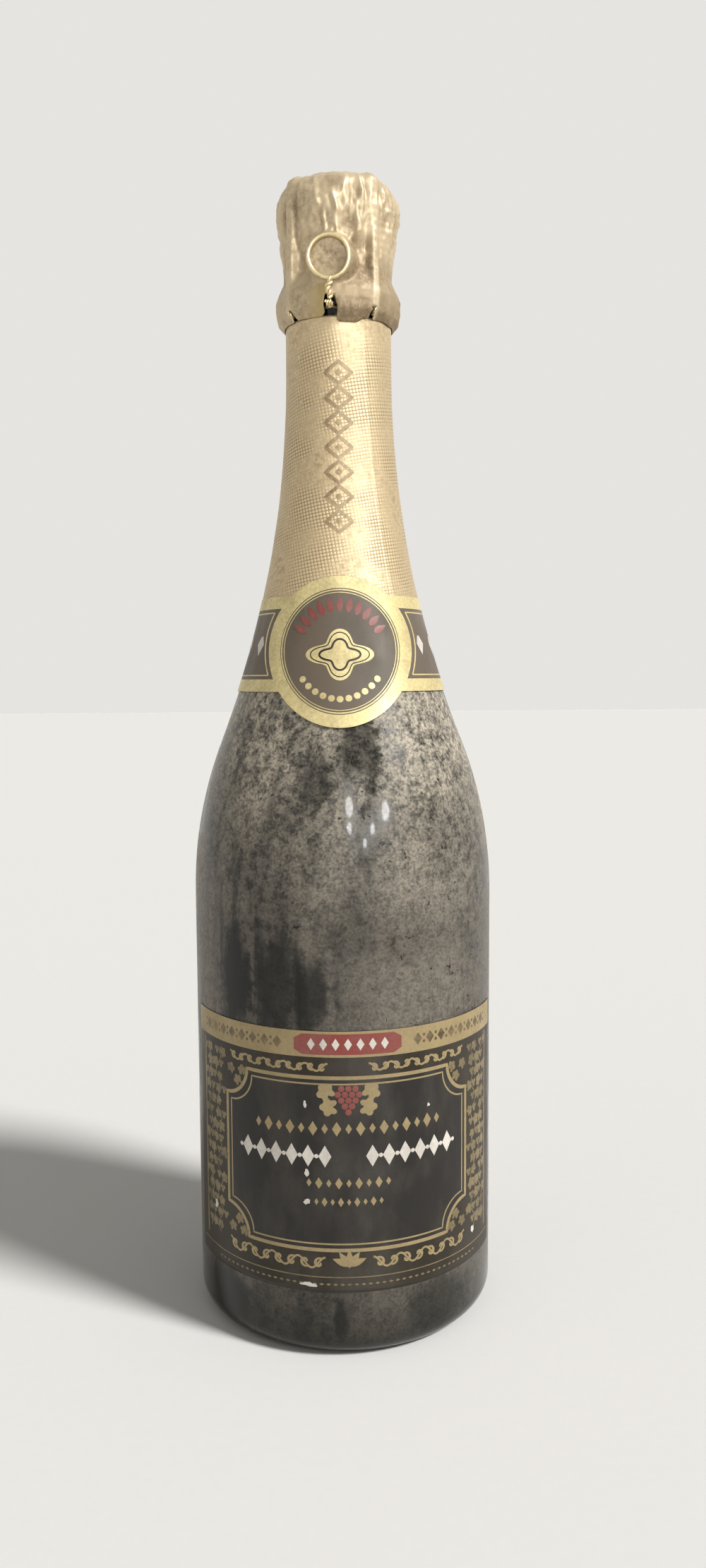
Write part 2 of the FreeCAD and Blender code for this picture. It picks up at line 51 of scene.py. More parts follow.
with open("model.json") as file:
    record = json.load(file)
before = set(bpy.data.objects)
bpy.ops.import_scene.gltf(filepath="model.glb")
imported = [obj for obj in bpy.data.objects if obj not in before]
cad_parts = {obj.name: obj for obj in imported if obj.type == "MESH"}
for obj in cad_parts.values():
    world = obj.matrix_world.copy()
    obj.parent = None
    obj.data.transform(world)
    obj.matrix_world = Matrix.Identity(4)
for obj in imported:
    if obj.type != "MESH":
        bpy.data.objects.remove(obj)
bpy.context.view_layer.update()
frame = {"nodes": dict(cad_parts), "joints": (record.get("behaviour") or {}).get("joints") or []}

MM = 0.001
GLASS_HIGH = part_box("glass_bottle")[1]
CAP_LOW, CAP_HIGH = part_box("foil_cap")
NECK_FOIL_LOW, NECK_FOIL_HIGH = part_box("neck_foil")
LABEL_LOW, LABEL_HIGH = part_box("body_label")
JOINTS = {joint["name"]: joint for joint in frame["joints"]}
FOLD = Vector(JOINTS["loop_fold"]["pos_m"])
CAGE_TURN = math.atan2(FOLD.x, -FOLD.y)
CAGE_FRONT = Vector((math.sin(CAGE_TURN), -math.cos(CAGE_TURN), 0))
CAGE_RIGHT = Vector((math.cos(CAGE_TURN), math.sin(CAGE_TURN), 0))
FULL_TURN = 2 * math.pi
MIX_A, MIX_B = 6, 7  # inputs of a Mix node that mixes colours
TOUCHING = 1e-7  # metres between points that are one
MOST_OF_RUN = 0.48  # share of a straight run that one rounding may take
PRINT_SPACING = 1.2 * MM  # between points of a print, so that it follows the curved sheet
WIRE_SIDES = 12
NECK_SLOT, LABEL_SLOT = "neck_label_paper", "body_label_paper"


def linear(value):
    """Linear colour of an sRGB hex value."""
    shares = [int(value[i:i + 2], 16) / 255 for i in (1, 3, 5)]
    return tuple(s / 12.92 if s <= 0.04045 else ((s + 0.055) / 1.055) ** 2.4 for s in shares) + (1.0,)


def length(name, default, description):
    """Size in metres that a user can change."""
    return bpy.props.FloatProperty(
        name=name, description=description, default=default, unit="LENGTH", precision=5)


def angle(name, degrees, description):
    """Angle that a user can change, its default in degrees."""
    return bpy.props.FloatProperty(
        name=name, description=description, default=math.radians(degrees), subtype="ANGLE")


def colour(name, value, description):
    """Colour that a user can change, its default a hex value."""
    return bpy.props.FloatVectorProperty(
        name=name, description=description, default=linear(value), size=4, min=0, max=1, subtype="COLOR")


class GlassSizes(bpy.types.PropertyGroup):
    """Outline of the glass."""
    body_radius: length("Body radius", GLASS_HIGH.x, "Outside radius of the straight body")
    lip_height: length("Lip height", GLASS_HIGH.z, "Lip above the table")
    shoulder_start: length("Shoulder start", 0.122, "Height where the body begins to curve in")
    shoulder_arc: length("Shoulder arc", 0.120, "Radius of the convex shoulder")
    neck_length: length("Neck length", 0.028, "Straight neck, ring and lip together")
    neck_radius: length("Neck radius", 0.01485, "Outside radius of the straight neck")
    heel_arc: length("Heel arc", 0.010, "Rounding between body and standing ring")
    foot_width: length("Foot width", 0.003, "Width of the standing ring")
    punt_depth: length("Punt depth", 0.032, "Hollow in the base")
    punt_top: length("Punt top", 0.008, "Radius where the punt's cone meets its top")
    wall: length("Wall", 0.0045, "Wall of the body")
    mouth_radius: length("Mouth radius", 0.0089, "Bore at the cork")
    ripple: length("Ripple", 0.00006, "How far the old glass waves in and out")


class FoilSizes(bpy.types.PropertyGroup):
    """Foil cap and neck foil."""
    thickness: length("Thickness", 0.00012, "Thickness of the foil")
    rim_radius: length("Rim radius", 0.01535, "Inner edge of the cap's underside")
    collar_radius: length("Collar radius", 0.0176, "Foil round the ring of the mouth")
    waist_radius: length("Waist radius", 0.0152, "Foil drawn in round the lip")
    head_radius: length("Head radius", 0.0170, "Foil round the cork's head")
    crown_radius: length("Crown radius", 0.0109, "Edge of the pressed cap under the foil")
    pleat_height: length("Pleat height", 0.00065, "How far the pleats stand out")
    crumple_depth: length("Crumple depth", 0.00065, "Depth of the crumples")
    dot_pitch: length("Dot pitch", 0.00095, "Spacing of the embossed dots, drawn coarse enough to show")
    dot_slope: angle("Dot slope", 10, "Rise of the rows of dots to the right")
    tear_width: length("Tear width", 0.0036, "Tear where the twisted wire comes through")
    tear_top: length("Tear top", 0.2878, "Upper end of the tear")


class CageSizes(bpy.types.PropertyGroup):
    """Wires of the cage."""
    strand: length("Strand", 0.00058, "Diameter of one strand of a twisted wire")
    lay: length("Lay", 0.0042, "Length of one full twist of two strands")
    belt_wire: length("Belt wire", 0.0009, "Diameter of the belt wire")
    loop_wire: length("Loop wire", 0.0012, "Diameter of the pull loop's wire")
    loop_radius: length("Loop radius", 0.0056, "Pull loop to the middle of its wire")
    loop_rise: length("Loop rise", 0.0122, "Centre of the loop above the belt")
    leg_spread: angle("Leg spread", 44, "From the cage's front or back to each leg")
    leg_high: length("Leg at head", 0.0162, "Radius of the legs at the cork's head")
    leg_low: length("Leg at hook", 0.01718, "Radius of the legs at their hooks")
    hook_reach: length("Hook reach", 0.0157, "Radius of the hooks' ends")
    hook_height: length("Hook height", 0.28392, "Height of the hooks under the belt")
    top_ring_radius: length("Top ring radius", 0.01148, "Ring on the brim of the pressed cap")
    top_ring_height: length("Top ring height", 0.32053, "Height of that ring")
    belt_radius: length("Belt radius", 0.0149, "Belt between the legs")
    belt_at_leg: length("Belt at leg", 0.01615, "Belt where it goes round a leg")


class LabelSizes(bpy.types.PropertyGroup):
    """Paper labels and their print."""
    paper: length("Paper", 0.00015, "Thickness of the label paper")
    body_radius: length("Label radius", 0.04361, "Outside of the body label")
    body_spread: angle("Label spread", 72, "Reach of the body label each way")
    body_turn: angle("Label turn", 2, "Turn of the body label to the right")
    neck_offset: length("Neck label offset", 0.0004, "Outside of the neck label above the glass")
    band_low: length("Band low", 0.1804, "Lower edge of the neck label's bands")
    band_high: length("Band high", 0.2067, "Upper edge of the neck label's bands")
    band_spread: angle("Band spread", 150, "Reach of the neck label each way")
    medal_height: length("Medallion height", 0.1914, "Middle of the neck label's round front")
    medal_half_width: length("Medallion half width", 0.0198, "Seen from the front")
    medal_half_height: length("Medallion half height", 0.0206, "Seen from the front")
    ink: length("Ink", 0.00003, "How far printed shapes stand above the paper")


class Colours(bpy.types.PropertyGroup):
    """Finishes."""
    glass: colour("Glass", "#11130F", "Bottle-green glass with dark wine behind it")
    # Dust on the shoulder, painted paler as well: it stands in for light from above
    dust_and_top_light: colour("Thick dust", "#CABFAA", "Dust that has settled on the shoulder")
    dust_light: colour("Light dust", "#80786C", "Thick cellar dust")
    dust_dark: colour("Dark dust", "#57524A", "Thin cellar dust")
    cap_foil: colour("Cap foil", "#D8C4A0", "Gold-lacquered foil on cork and cage")
    neck_foil: colour("Neck foil", "#DAC49B", "Gold-lacquered foil on the neck")
    # Dull film on old foil, also laid as painted shade in its creases, dents and between its dots
    foil_dirt_and_shade: colour("Foil grime", "#8B7759", "Dull film on old foil")
    foil_olive: colour("Olive foil", "#B09A60", "Stretched foil with its lacquer rubbed thin")
    stamp: colour("Stamp", "#7D6745", "Brown ornament stamped on the neck foil")
    brown: colour("Brown ink", "#4E4029", "Brown ink on the gilt band")
    label_ground: colour("Label ground", "#2A2317", "Brown-black ground of the body label")
    neck_ground: colour("Neck label ground", "#6E6253", "Ground of the neck label, hazed by dust")
    label_black: colour("Label black", "#25221F", "Black panel of the body label")
    gilt: colour("Gilt", "#E6D69A", "Gold ink, still bright")
    gilt_dusty: colour("Dusty gilt", "#A8946A", "Gold ink under dust")
    gilt_dull: colour("Dull gilt", "#8A7A56", "Fine gold ink under dust")
    red: colour("Red", "#8A342B", "Red ink")
    ivory: colour("Ivory", "#E0D9CE", "Ivory ink and bare paper")
    wire: colour("Wire", "#E2CFA2", "Gilt steel wire")
    cork: colour("Cork", "#C29A6B", "Cork")
    cork_dark: colour("Cork grain", "#7F5A37", "Bark and pores in the cork")
    wine: colour("Wine", "#E3CC84", "Pale gold wine")
    floor: colour("Floor", "#F1EFEB", "Pale studio floor")


SETTINGS = {
    "bottle_glass": GlassSizes,
    "bottle_foils": FoilSizes,
    "bottle_cage": CageSizes,
    "bottle_labels": LabelSizes,
    "bottle_colours": Colours,
}


def settings(name):
    """A group of sizes or colours, as the scene holds it."""
    return getattr(bpy.context.scene, name)


def paint(name):
    """A finish's colour, as the scene holds it."""
    return getattr(settings("bottle_colours"), name)


def around(radius, turn, height):
    """Point at a radius, an angle from the front and a height."""
    return Vector((radius * math.sin(turn), -radius * math.cos(turn), height))


def smooth(value, low, high):
    """Soft step from 0 at low to 1 at high."""
    share = min(max((value - low) / (high - low), 0.0), 1.0)
    return share * share * (3 - 2 * share)


def window(value, start, full, fade, end):
    """Soft step up from start to full and down again from fade to end."""
    return smooth(value, start, full) * (1 - smooth(value, fade, end))


def wall_line():
    """Function that gives the glass's outside radius at a height, moved out by an offset."""
    glass = settings("bottle_glass")
    body, neck, start, arc = glass.body_radius, glass.neck_radius, glass.shoulder_start, glass.shoulder_arc
    neck_start = glass.lip_height - glass.neck_length
    fall = body - neck
    rise = neck_start - start
    both = (fall ** 2 + rise ** 2) / (2 * fall)
    meet = start + rise * arc / both

    def radius(height, offset=0.0):
        if height <= start:
            return body + offset
        if height >= neck_start:
            return neck + offset
        if height < meet:
            return body - arc + math.sqrt((arc + offset) ** 2 - (height - start) ** 2)
        return neck + both - arc - math.sqrt((both - arc - offset) ** 2 - (neck_start - height) ** 2)

    return radius


def rounded(corners, spacing):
    """Points along straight runs and tangent arcs through corners (x, z, rounding)."""
    places = [Vector(corner[:2]) for corner in corners]
    points = []
    for i, here in enumerate(places):
        rounding = corners[i][2]
        if rounding == 0 or i in (0, len(corners) - 1):
            points.append(here)
            continue
        back = places[i - 1] - here
        ahead = places[i + 1] - here
        half = back.angle(ahead) / 2
        reach = min(rounding / math.tan(half), MOST_OF_RUN * back.length, MOST_OF_RUN * ahead.length)
        radius = reach * math.tan(half)
        back.normalize()
        ahead.normalize()
        centre = here + (back + ahead).normalized() * (radius / math.sin(half))
        arm = here + back * reach - centre
        turn = math.pi - 2 * half
        if back.x * ahead.y - back.y * ahead.x > 0:
            turn = -turn
        steps = max(2, math.ceil(abs(turn) * radius / spacing))
        for k in range(steps + 1):
            share = turn * k / steps
            points.append(centre + Vector((
                arm.x * math.cos(share) - arm.y * math.sin(share),
                arm.x * math.sin(share) + arm.y * math.cos(share))))
    return points


def evenly(points, spacing):
    """The same line with points at even distances."""
    runs = [(b - a).length for a, b in zip(points, points[1:])]
    steps = max(1, round(sum(runs) / spacing))
    step = sum(runs) / steps
    made = [points[0].copy()]
    left = step
    for (a, b), run in zip(zip(points, points[1:]), runs):
        gone = 0.0
        while run - gone > left + 1e-9 and len(made) < steps:
            gone += left
            made.append(a.lerp(b, gone / run))
            left = step
        left -= run - gone
    made.append(points[-1].copy())
    return made


def linked(name, data):
    """Object at the origin that holds a mesh, a lamp or a camera."""
    made = bpy.data.objects.new(name, data)
    bpy.context.scene.collection.objects.link(made)
    return made


def mesh_object(name, vertices, faces, material=None):
    """Object with a clean mesh that faces outwards."""
    mesh = bpy.data.meshes.new(name)
    mesh.from_pydata([tuple(v) for v in vertices], [], faces)
    work = bmesh.new()
    work.from_mesh(mesh)
    bmesh.ops.remove_doubles(work, verts=work.verts, dist=TOUCHING)
    bmesh.ops.recalc_face_normals(work, faces=work.faces)
    work.to_mesh(mesh)
    work.free()
    if material is not None:
        mesh.materials.append(material)
    return linked(name, mesh)


def plain_mesh(made):
    """Turns what an object's modifiers give into its own mesh and removes them."""
    seen = made.evaluated_get(bpy.context.evaluated_depsgraph_get())
    mesh = bpy.data.meshes.new_from_object(seen)
    old = made.data
    made.modifiers.clear()
    made.data = mesh
    mesh.name = made.name
    bpy.data.meshes.remove(old)
    return made


def dress(made, body, slot, nodes=(), shade_smooth=True):
    """Hands a finished piece to its body and hides the nodes that it stands for. Its material slot is not
    used.
    """
    for face in made.data.polygons:
        face.use_smooth = shade_smooth
    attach(made, body)
    if nodes:
        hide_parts(*nodes)


def turned(outline, steps, ripple):
    """Vertices and faces of an outline of (radius, height) turned about Z, from axis to axis."""
    vertices = []
    for r, z in outline:
        for i in range(steps):
            turn = FULL_TURN * i / steps
            wave = 0.0
            if r > 0:
                wave = ripple * (noise.noise(around(r, turn, z) / (14 * MM)) - 1)
            vertices.append(around(max(r + wave, 0), turn, z))
    faces = []
    for j in range(len(outline) - 1):
        for i in range(steps):
            n = (i + 1) % steps
            faces.append((j * steps + i, j * steps + n, (j + 1) * steps + n, (j + 1) * steps + i))
    return vertices, faces


def ease_edges(work):
    """Draws the open edges of a torn sheet into smooth lines."""
    beside = {}
    for edge in work.edges:
        if edge.is_boundary:
            for v in edge.verts:
                beside.setdefault(v, []).append(edge.other_vert(v))
    pairs = {v: near for v, near in beside.items() if len(near) == 2}
    for step in range(6):
        eased = [(v, v.co.lerp((a.co + b.co) / 2, 0.5)) for v, (a, b) in pairs.items()]
        for v, spot in eased:
            v.co = spot


def sheet(name, columns, rows, place, unwrap, thickness, material, closed=False, hole=None, marks=None):
    """Sheet on a grid, with a UV map in metres and its thickness inwards.

    place(i, j) gives a point, unwrap(i, j) its flat place, hole(point) says where the sheet is torn
    away, and marks holds attributes by name, each a value for every (i, j).
    """
    across = columns if closed else columns + 1
    points = [place(i, j) for j in range(rows + 1) for i in range(across)]
    mesh = bpy.data.meshes.new(name)
    faces = []
    flat = []
    for j in range(rows):
        for i in range(columns):
            corners = [(i, j), (i + 1, j), (i + 1, j + 1), (i, j + 1)]
            face = [b * across + a % across for a, b in corners]
            middle = sum((points[k] for k in face), Vector()) / 4
            if hole is not None and hole(middle):
                continue
            faces.append(face)
            flat.append([unwrap(a, b) for a, b in corners])
    mesh.from_pydata([tuple(p) for p in points], [], faces)
    uv = mesh.uv_layers.new(name="sheet")
    uv.data.foreach_set("uv", [c for face in flat for corner in face for c in corner])
    mesh.materials.append(material)
    for label, values in (marks or {}).items():
        kept = mesh.attributes.new(label, "FLOAT", "POINT")
        kept.data.foreach_set("value", [values[i, j] for j in range(rows + 1) for i in range(across)])
    work = bmesh.new()
    work.from_mesh(mesh)
    bmesh.ops.remove_doubles(work, verts=work.verts, dist=TOUCHING)
    bmesh.ops.delete(work, geom=[v for v in work.verts if not v.link_faces], context="VERTS")
    if hole is not None:
        ease_edges(work)
    work.to_mesh(mesh)
    work.free()
    made = linked(name, mesh)
    thicken = made.modifiers.new("Thickness", "SOLIDIFY")
    thicken.thickness = thickness
    thicken.offset = -1
    return plain_mesh(made)


class Print:
    """Thin shapes on a sheet, drawn flat and wrapped on its surface by wrap(u, v, lift)."""

    def __init__(self, lift):
        self.vertices = []
        self.faces = []
        self.lift = lift

    def ribbon(self, wrap, path, widths, closed=False):
        """Band of a width, or of a width at each point, along a flat path."""
        count = len(path)
        if isinstance(widths, (int, float)):
            widths = [widths] * count
        across = max(1, math.ceil(max(widths) / PRINT_SPACING))
        shares = [k / across - 0.5 for k in range(across + 1)]
        loop = 2 * len(shares)
        start = len(self.vertices)
        for i, (u, v) in enumerate(path):
            before = path[i - 1] if i or closed else path[i]
            after = path[(i + 1) % count] if i < count - 1 or closed else path[i]
            ahead = Vector((after[0] - before[0], after[1] - before[1])).normalized()
            side = Vector((-ahead.y, ahead.x)) * widths[i]
            self.vertices += [wrap(u + side.x * s, v + side.y * s, self.lift) for s in shares]
            self.vertices += [wrap(u + side.x * s, v + side.y * s, -self.lift) for s in reversed(shares)]
        for i in range(count if closed else count - 1):
            a = start + i * loop
            b = start + (i + 1) % count * loop
            for k in range(loop):
                n = (k + 1) % loop
                self.faces.append((a + k, a + n, b + n, b + k))
        if not closed:
            last = start + (count - 1) * loop
            self.faces.append(tuple(range(start, start + loop)))
            self.faces.append(tuple(range(last + loop - 1, last - 1, -1)))

    def patch(self, wrap, centre, outline, rings=2):
        """Filled shape whose outline is seen whole from its centre."""
        count = len(outline)
        side = 1 + rings * count
        start = len(self.vertices)
        for lift in (self.lift, -self.lift):
            self.vertices.append(wrap(centre[0], centre[1], lift))
            for ring in range(1, rings + 1):
                for u, v in outline:
                    share = ring / rings
                    self.vertices.append(wrap(
                        centre[0] + (u - centre[0]) * share, centre[1] + (v - centre[1]) * share, lift))
        for i in range(count):
            n = (i + 1) % count
            for first in (start, start + side):
                self.faces.append((first, first + 1 + i, first + 1 + n))
                for ring in range(rings - 1):
                    a = first + 1 + ring * count
                    self.faces.append((a + i, a + count + i, a + count + n, a + n))
            edge = start + 1 + (rings - 1) * count
            self.faces.append((edge + i, edge + side + i, edge + side + n, edge + n))

    def lay(self, name, ink_name, slot=LABEL_SLOT):
        """Makes the shapes one piece of the bottle in an ink."""
        made = mesh_object(name, self.vertices, self.faces, finish(ink_name))
        dress(made, "bottle", slot, shade_smooth=False)


def oval(centre, half_width, half_height, start, end, spacing=1.0 * MM):
    """Flat points of an ellipse's arc between two angles in degrees, counted from the right."""
    turn = math.radians(end - start)
    steps = max(6, math.ceil(abs(turn) * max(half_width, half_height) / spacing))
    angles = [math.radians(start) + turn * k / steps for k in range(steps + 1)]
    return [(centre[0] + half_width * math.cos(a), centre[1] + half_height * math.sin(a)) for a in angles]


def blot(u, v, half_width, half_height):
    """Flat outline of a ragged spot."""
    outline = []
    for k in range(13):
        a = FULL_TURN * k / 13
        reach = random.uniform(0.5, 1.15)
        outline.append((u + half_width * reach * math.cos(a), v + half_height * reach * math.sin(a)))
    return outline


def straight(start, end, spacing=PRINT_SPACING):
    """Flat points of a straight run."""
    steps = max(2, math.ceil(math.dist(start, end) / spacing))
    return [(start[0] + (end[0] - start[0]) * k / steps, start[1] + (end[1] - start[1]) * k / steps)
            for k in range(steps + 1)]


def plug(tree, node, inputs):
    """Fills a node's inputs by name or number, each with a value, a socket or a node's output in use."""
    for name, value in inputs.items():
        if isinstance(value, bpy.types.Node):
            value = next(socket for socket in value.outputs if socket.enabled)
        if isinstance(value, bpy.types.NodeSocket):
            tree.links.new(value, node.inputs[name])
        else:
            node.inputs[name].default_value = value


def add(tree, kind, inputs=None, **options):
    """Adds a node with its settings and fills its inputs. A shader node's kind goes without its prefix.

    A Map Range node's inputs 1 to 4 are the range that goes in and the range that comes out.
    """
    made = tree.nodes.new(kind if "Node" in kind else "ShaderNode" + kind)
    for name, value in options.items():
        setattr(made, name, value)
    plug(tree, made, inputs or {})
    return made


def new_tree(name, inputs):
    """Geometry Nodes tree with a carrier mesh in, a mesh out, and inputs by name and kind of socket."""
    tree = bpy.data.node_groups.new(name, "GeometryNodeTree")
    tree.is_modifier = True
    tree.interface.new_socket("Geometry", in_out="OUTPUT", socket_type="NodeSocketGeometry")
    for label, kind in (("Geometry", "Geometry"), *inputs):
        tree.interface.new_socket(label, in_out="INPUT", socket_type="NodeSocket" + kind)
    return tree, add(tree, "NodeGroupInput").outputs


def close_tree(tree, geometry, material):
    """Ends a tree in plain geometry with its material."""
    plain = add(tree, "GeometryNodeRealizeInstances", {"Geometry": geometry})
    painted = add(tree, "GeometryNodeSetMaterial", {"Geometry": plain, "Material": material})
    add(tree, "NodeGroupOutput", {"Geometry": painted})
    return tree


def wire_tree():
    """Round wire along a line: one strand, or two wound round each other."""
    tree, given = new_tree("Wound wire", (
        ("Strand", "Float"), ("Twisted", "Bool"), ("Lay", "Float"), ("Spacing", "Float"), ("Sides", "Int"),
        ("Material", "Material")))
    line = add(tree, "GeometryNodeMeshToCurve", {"Mesh": given["Geometry"]})
    even = add(tree, "GeometryNodeResampleCurve", {"Curve": line, "Length": given["Spacing"]}, mode="LENGTH")
    gone = add(tree, "GeometryNodeSplineParameter").outputs["Length"]
    turns = add(tree, "Math", {0: gone, 1: given["Lay"]}, operation="DIVIDE")
    radius = add(tree, "Math", {0: given["Strand"], 1: 0.5}, operation="MULTIPLY")
    section = add(tree, "GeometryNodeCurvePrimitiveCircle", {"Resolution": given["Sides"], "Radius": radius})
    normal = add(tree, "GeometryNodeInputNormal")
    tangent = add(tree, "GeometryNodeInputTangent")
    across = add(tree, "VectorMath", {0: tangent, 1: normal}, operation="CROSS_PRODUCT")
    offset = add(tree, "Math", {0: radius, 1: given["Twisted"]}, operation="MULTIPLY")
    strands = []
    for phase in (0.0, math.pi):
        wound = add(tree, "Math", {0: turns, 1: FULL_TURN, 2: phase}, operation="MULTIPLY_ADD")
        sides = []
        for turn, direction in (("COSINE", normal), ("SINE", across)):
            share = add(tree, "Math", {0: wound}, operation=turn)
            reach = add(tree, "Math", {0: share, 1: offset}, operation="MULTIPLY")
            sides.append(add(tree, "VectorMath", {0: direction, "Scale": reach}, operation="SCALE"))
        shift = add(tree, "VectorMath", {0: sides[0], 1: sides[1]}, operation="ADD")
        strand = add(tree, "GeometryNodeSetPosition", {"Geometry": even, "Offset": shift})
        strands.append(add(tree, "GeometryNodeCurveToMesh", {
            "Curve": strand, "Profile Curve": section, "Fill Caps": True}))
    second = add(tree, "GeometryNodeSwitch", {"Switch": given["Twisted"], "True": strands[1]},
                 input_type="GEOMETRY")
    joined = add(tree, "GeometryNodeJoinGeometry", {0: strands[0]})
    plug(tree, joined, {0: second})
    return close_tree(tree, joined, given["Material"])


def motif_tree():
    """Copies of one small shape on points, each facing, turned and sized as its point says."""
    tree, given = new_tree("Motifs on a surface", (("Motif", "Object"), ("Material", "Material")))
    shape = add(tree, "GeometryNodeObjectInfo", {"Object": given["Motif"]}).outputs["Geometry"]
    facing, turn, size = [
        add(tree, "GeometryNodeInputNamedAttribute", {"Name": name}, data_type=kind)
        for name, kind in (("facing", "FLOAT_VECTOR"), ("turn", "FLOAT"), ("size", "FLOAT"))]
    outward = add(tree, "FunctionNodeAlignRotationToVector", {"Vector": facing}, axis="Z")
    upright = add(tree, "FunctionNodeAlignRotationToVector", {"Rotation": outward, "Vector": (0, 0, 1)},
                  axis="Y", pivot_axis="Z")
    spin = add(tree, "FunctionNodeAxisAngleToRotation", {"Axis": (0, 0, 1), "Angle": turn})
    placed = add(tree, "FunctionNodeRotateRotation", {"Rotation": upright, "Rotate By": spin},
                 rotation_space="LOCAL")
    copies = add(tree, "GeometryNodeInstanceOnPoints", {
        "Points": given["Geometry"], "Instance": shape, "Rotation": placed, "Scale": size})
    return close_tree(tree, copies, given["Material"])


def grown(name, tree, carrier, values):
    """Plain mesh that a tree makes of a carrier mesh."""
    made = linked(name, carrier)
    modifier = made.modifiers.new(tree.name, "NODES")
    modifier.node_group = tree
    for item in tree.interface.items_tree:
        if item.in_out == "INPUT" and item.name in values:
            modifier[item.identifier] = values[item.name]
    bpy.context.view_layer.update()
    return plain_mesh(made)


def wire(name, body, nodes, points, strand, lay=None, closed=False, spacing=0.0003):
    """Gilt wire along points, in place of nodes: a twisted pair where a lay is given, or one strand."""
    carrier = bpy.data.meshes.new(name + "_line")
    last = len(points) - 1
    edges = [(i, i + 1) for i in range(last)]
    if closed:
        edges.append((last, 0))
    carrier.from_pydata([tuple(p) for p in points], edges, [])
    tree = bpy.data.node_groups.get("Wound wire") or wire_tree()
    made = grown(name, tree, carrier, {
        "Strand": strand, "Twisted": lay is not None, "Lay": lay or 1.0, "Spacing": spacing,
        "Sides": WIRE_SIDES, "Material": finish("Gilt steel wire")})
    dress(made, body, "cage_wire", nodes)


def motifs(name, shape, marks, ink_name, slot=LABEL_SLOT):
    """Copies of a flat shape in an ink, at marks of (point, facing, turn, size)."""
    carrier = bpy.data.meshes.new(name + "_points")
    carrier.from_pydata([tuple(one[0]) for one in marks], [], [])
    facing = carrier.attributes.new("facing", "FLOAT_VECTOR", "POINT")
    facing.data.foreach_set("vector", [c for one in marks for c in one[1]])
    for label, column in (("turn", 2), ("size", 3)):
        values = carrier.attributes.new(label, "FLOAT", "POINT")
        values.data.foreach_set("value", [one[column] for one in marks])
    model = mesh_object(name + "_motif", *shape)
    tree = bpy.data.node_groups.get("Motifs on a surface") or motif_tree()
    made = grown(name, tree, carrier, {"Motif": model, "Material": finish(ink_name)})
    bpy.data.objects.remove(model)
    dress(made, "bottle", slot, shade_smooth=False)


def flat_shape(outline, height, crown):
    """Small solid of a flat outline, its middle raised by crown and its foot sunk in the curved paper."""
    count = len(outline)
    vertices = [(0, 0, height * crown)]
    vertices += [(x, y, height) for x, y in outline]
    vertices += [(x, y, -2.5 * height) for x, y in outline]
    faces = [(0, 1 + i, 1 + (i + 1) % count) for i in range(count)]
    for i in range(count):
        n = (i + 1) % count
        faces.append((1 + i, 1 + count + i, 1 + count + n, 1 + n))
    faces.append(tuple(range(2 * count, count, -1)))
    return vertices, faces


def diamond(width, height, lift):
    """Lozenge on its point."""
    return flat_shape([(width / 2, 0), (0, height / 2), (-width / 2, 0), (0, -height / 2)], lift, 1.6)


def bead(radius, lift):
    """Round drop of ink."""
    ring = [FULL_TURN * i / 10 for i in range(10)]
    return flat_shape([(radius * math.cos(a), radius * math.sin(a)) for a in ring], lift, 2.2)


def vine_leaf(size, lift):
    """Leaf with five lobes and a notch at its stalk."""
    outline = []
    for i in range(30):
        a = FULL_TURN * i / 30
        lobe = 0.60 + 0.40 * abs(math.cos(2.5 * (a - math.pi / 2))) ** 0.7
        notch = 0.35 * math.exp(-((a - 1.5 * math.pi) / 0.35) ** 2)
        outline.append((size * (lobe - notch) * math.cos(a), size * (lobe - notch) * math.sin(a)))
    return flat_shape(outline, lift, 1.5)


def laurel_leaf(long, wide, lift):
    """Narrow pointed leaf that points up."""
    shares = [k / 6 for k in range(7)]
    right = [(wide / 2 * math.sin(math.pi * s ** 0.8), long * s) for s in shares]
    left = [(-x, y) for x, y in reversed(right[1:-1])]
    outline = [(x, y - long / 2) for x, y in right + left]
    return flat_shape(outline, lift, 1.5)


# Wiped patches on the front of the glass: middle x and z, half width, half height, share of dust gone
WIPED = (
    (-0.0290, 0.103, 0.0055, 0.017, 0.95),
    (-0.0165, 0.102, 0.0075, 0.016, 0.80),
    (-0.0075, 0.100, 0.0060, 0.014, 0.85),
    (0.0055, 0.166, 0.0075, 0.012, 0.75),
    (-0.0060, 0.158, 0.0045, 0.010, 0.55),
    (0.0078, 0.144, 0.0062, 0.011, 0.55),
    (0.0010, 0.120, 0.0100, 0.014, 0.20),
    (-0.0320, 0.011, 0.0080, 0.009, 0.90),
    (-0.0010, 0.011, 0.0020, 0.006, 0.75),
    (0.0270, 0.012, 0.0090, 0.008, 0.60),
)


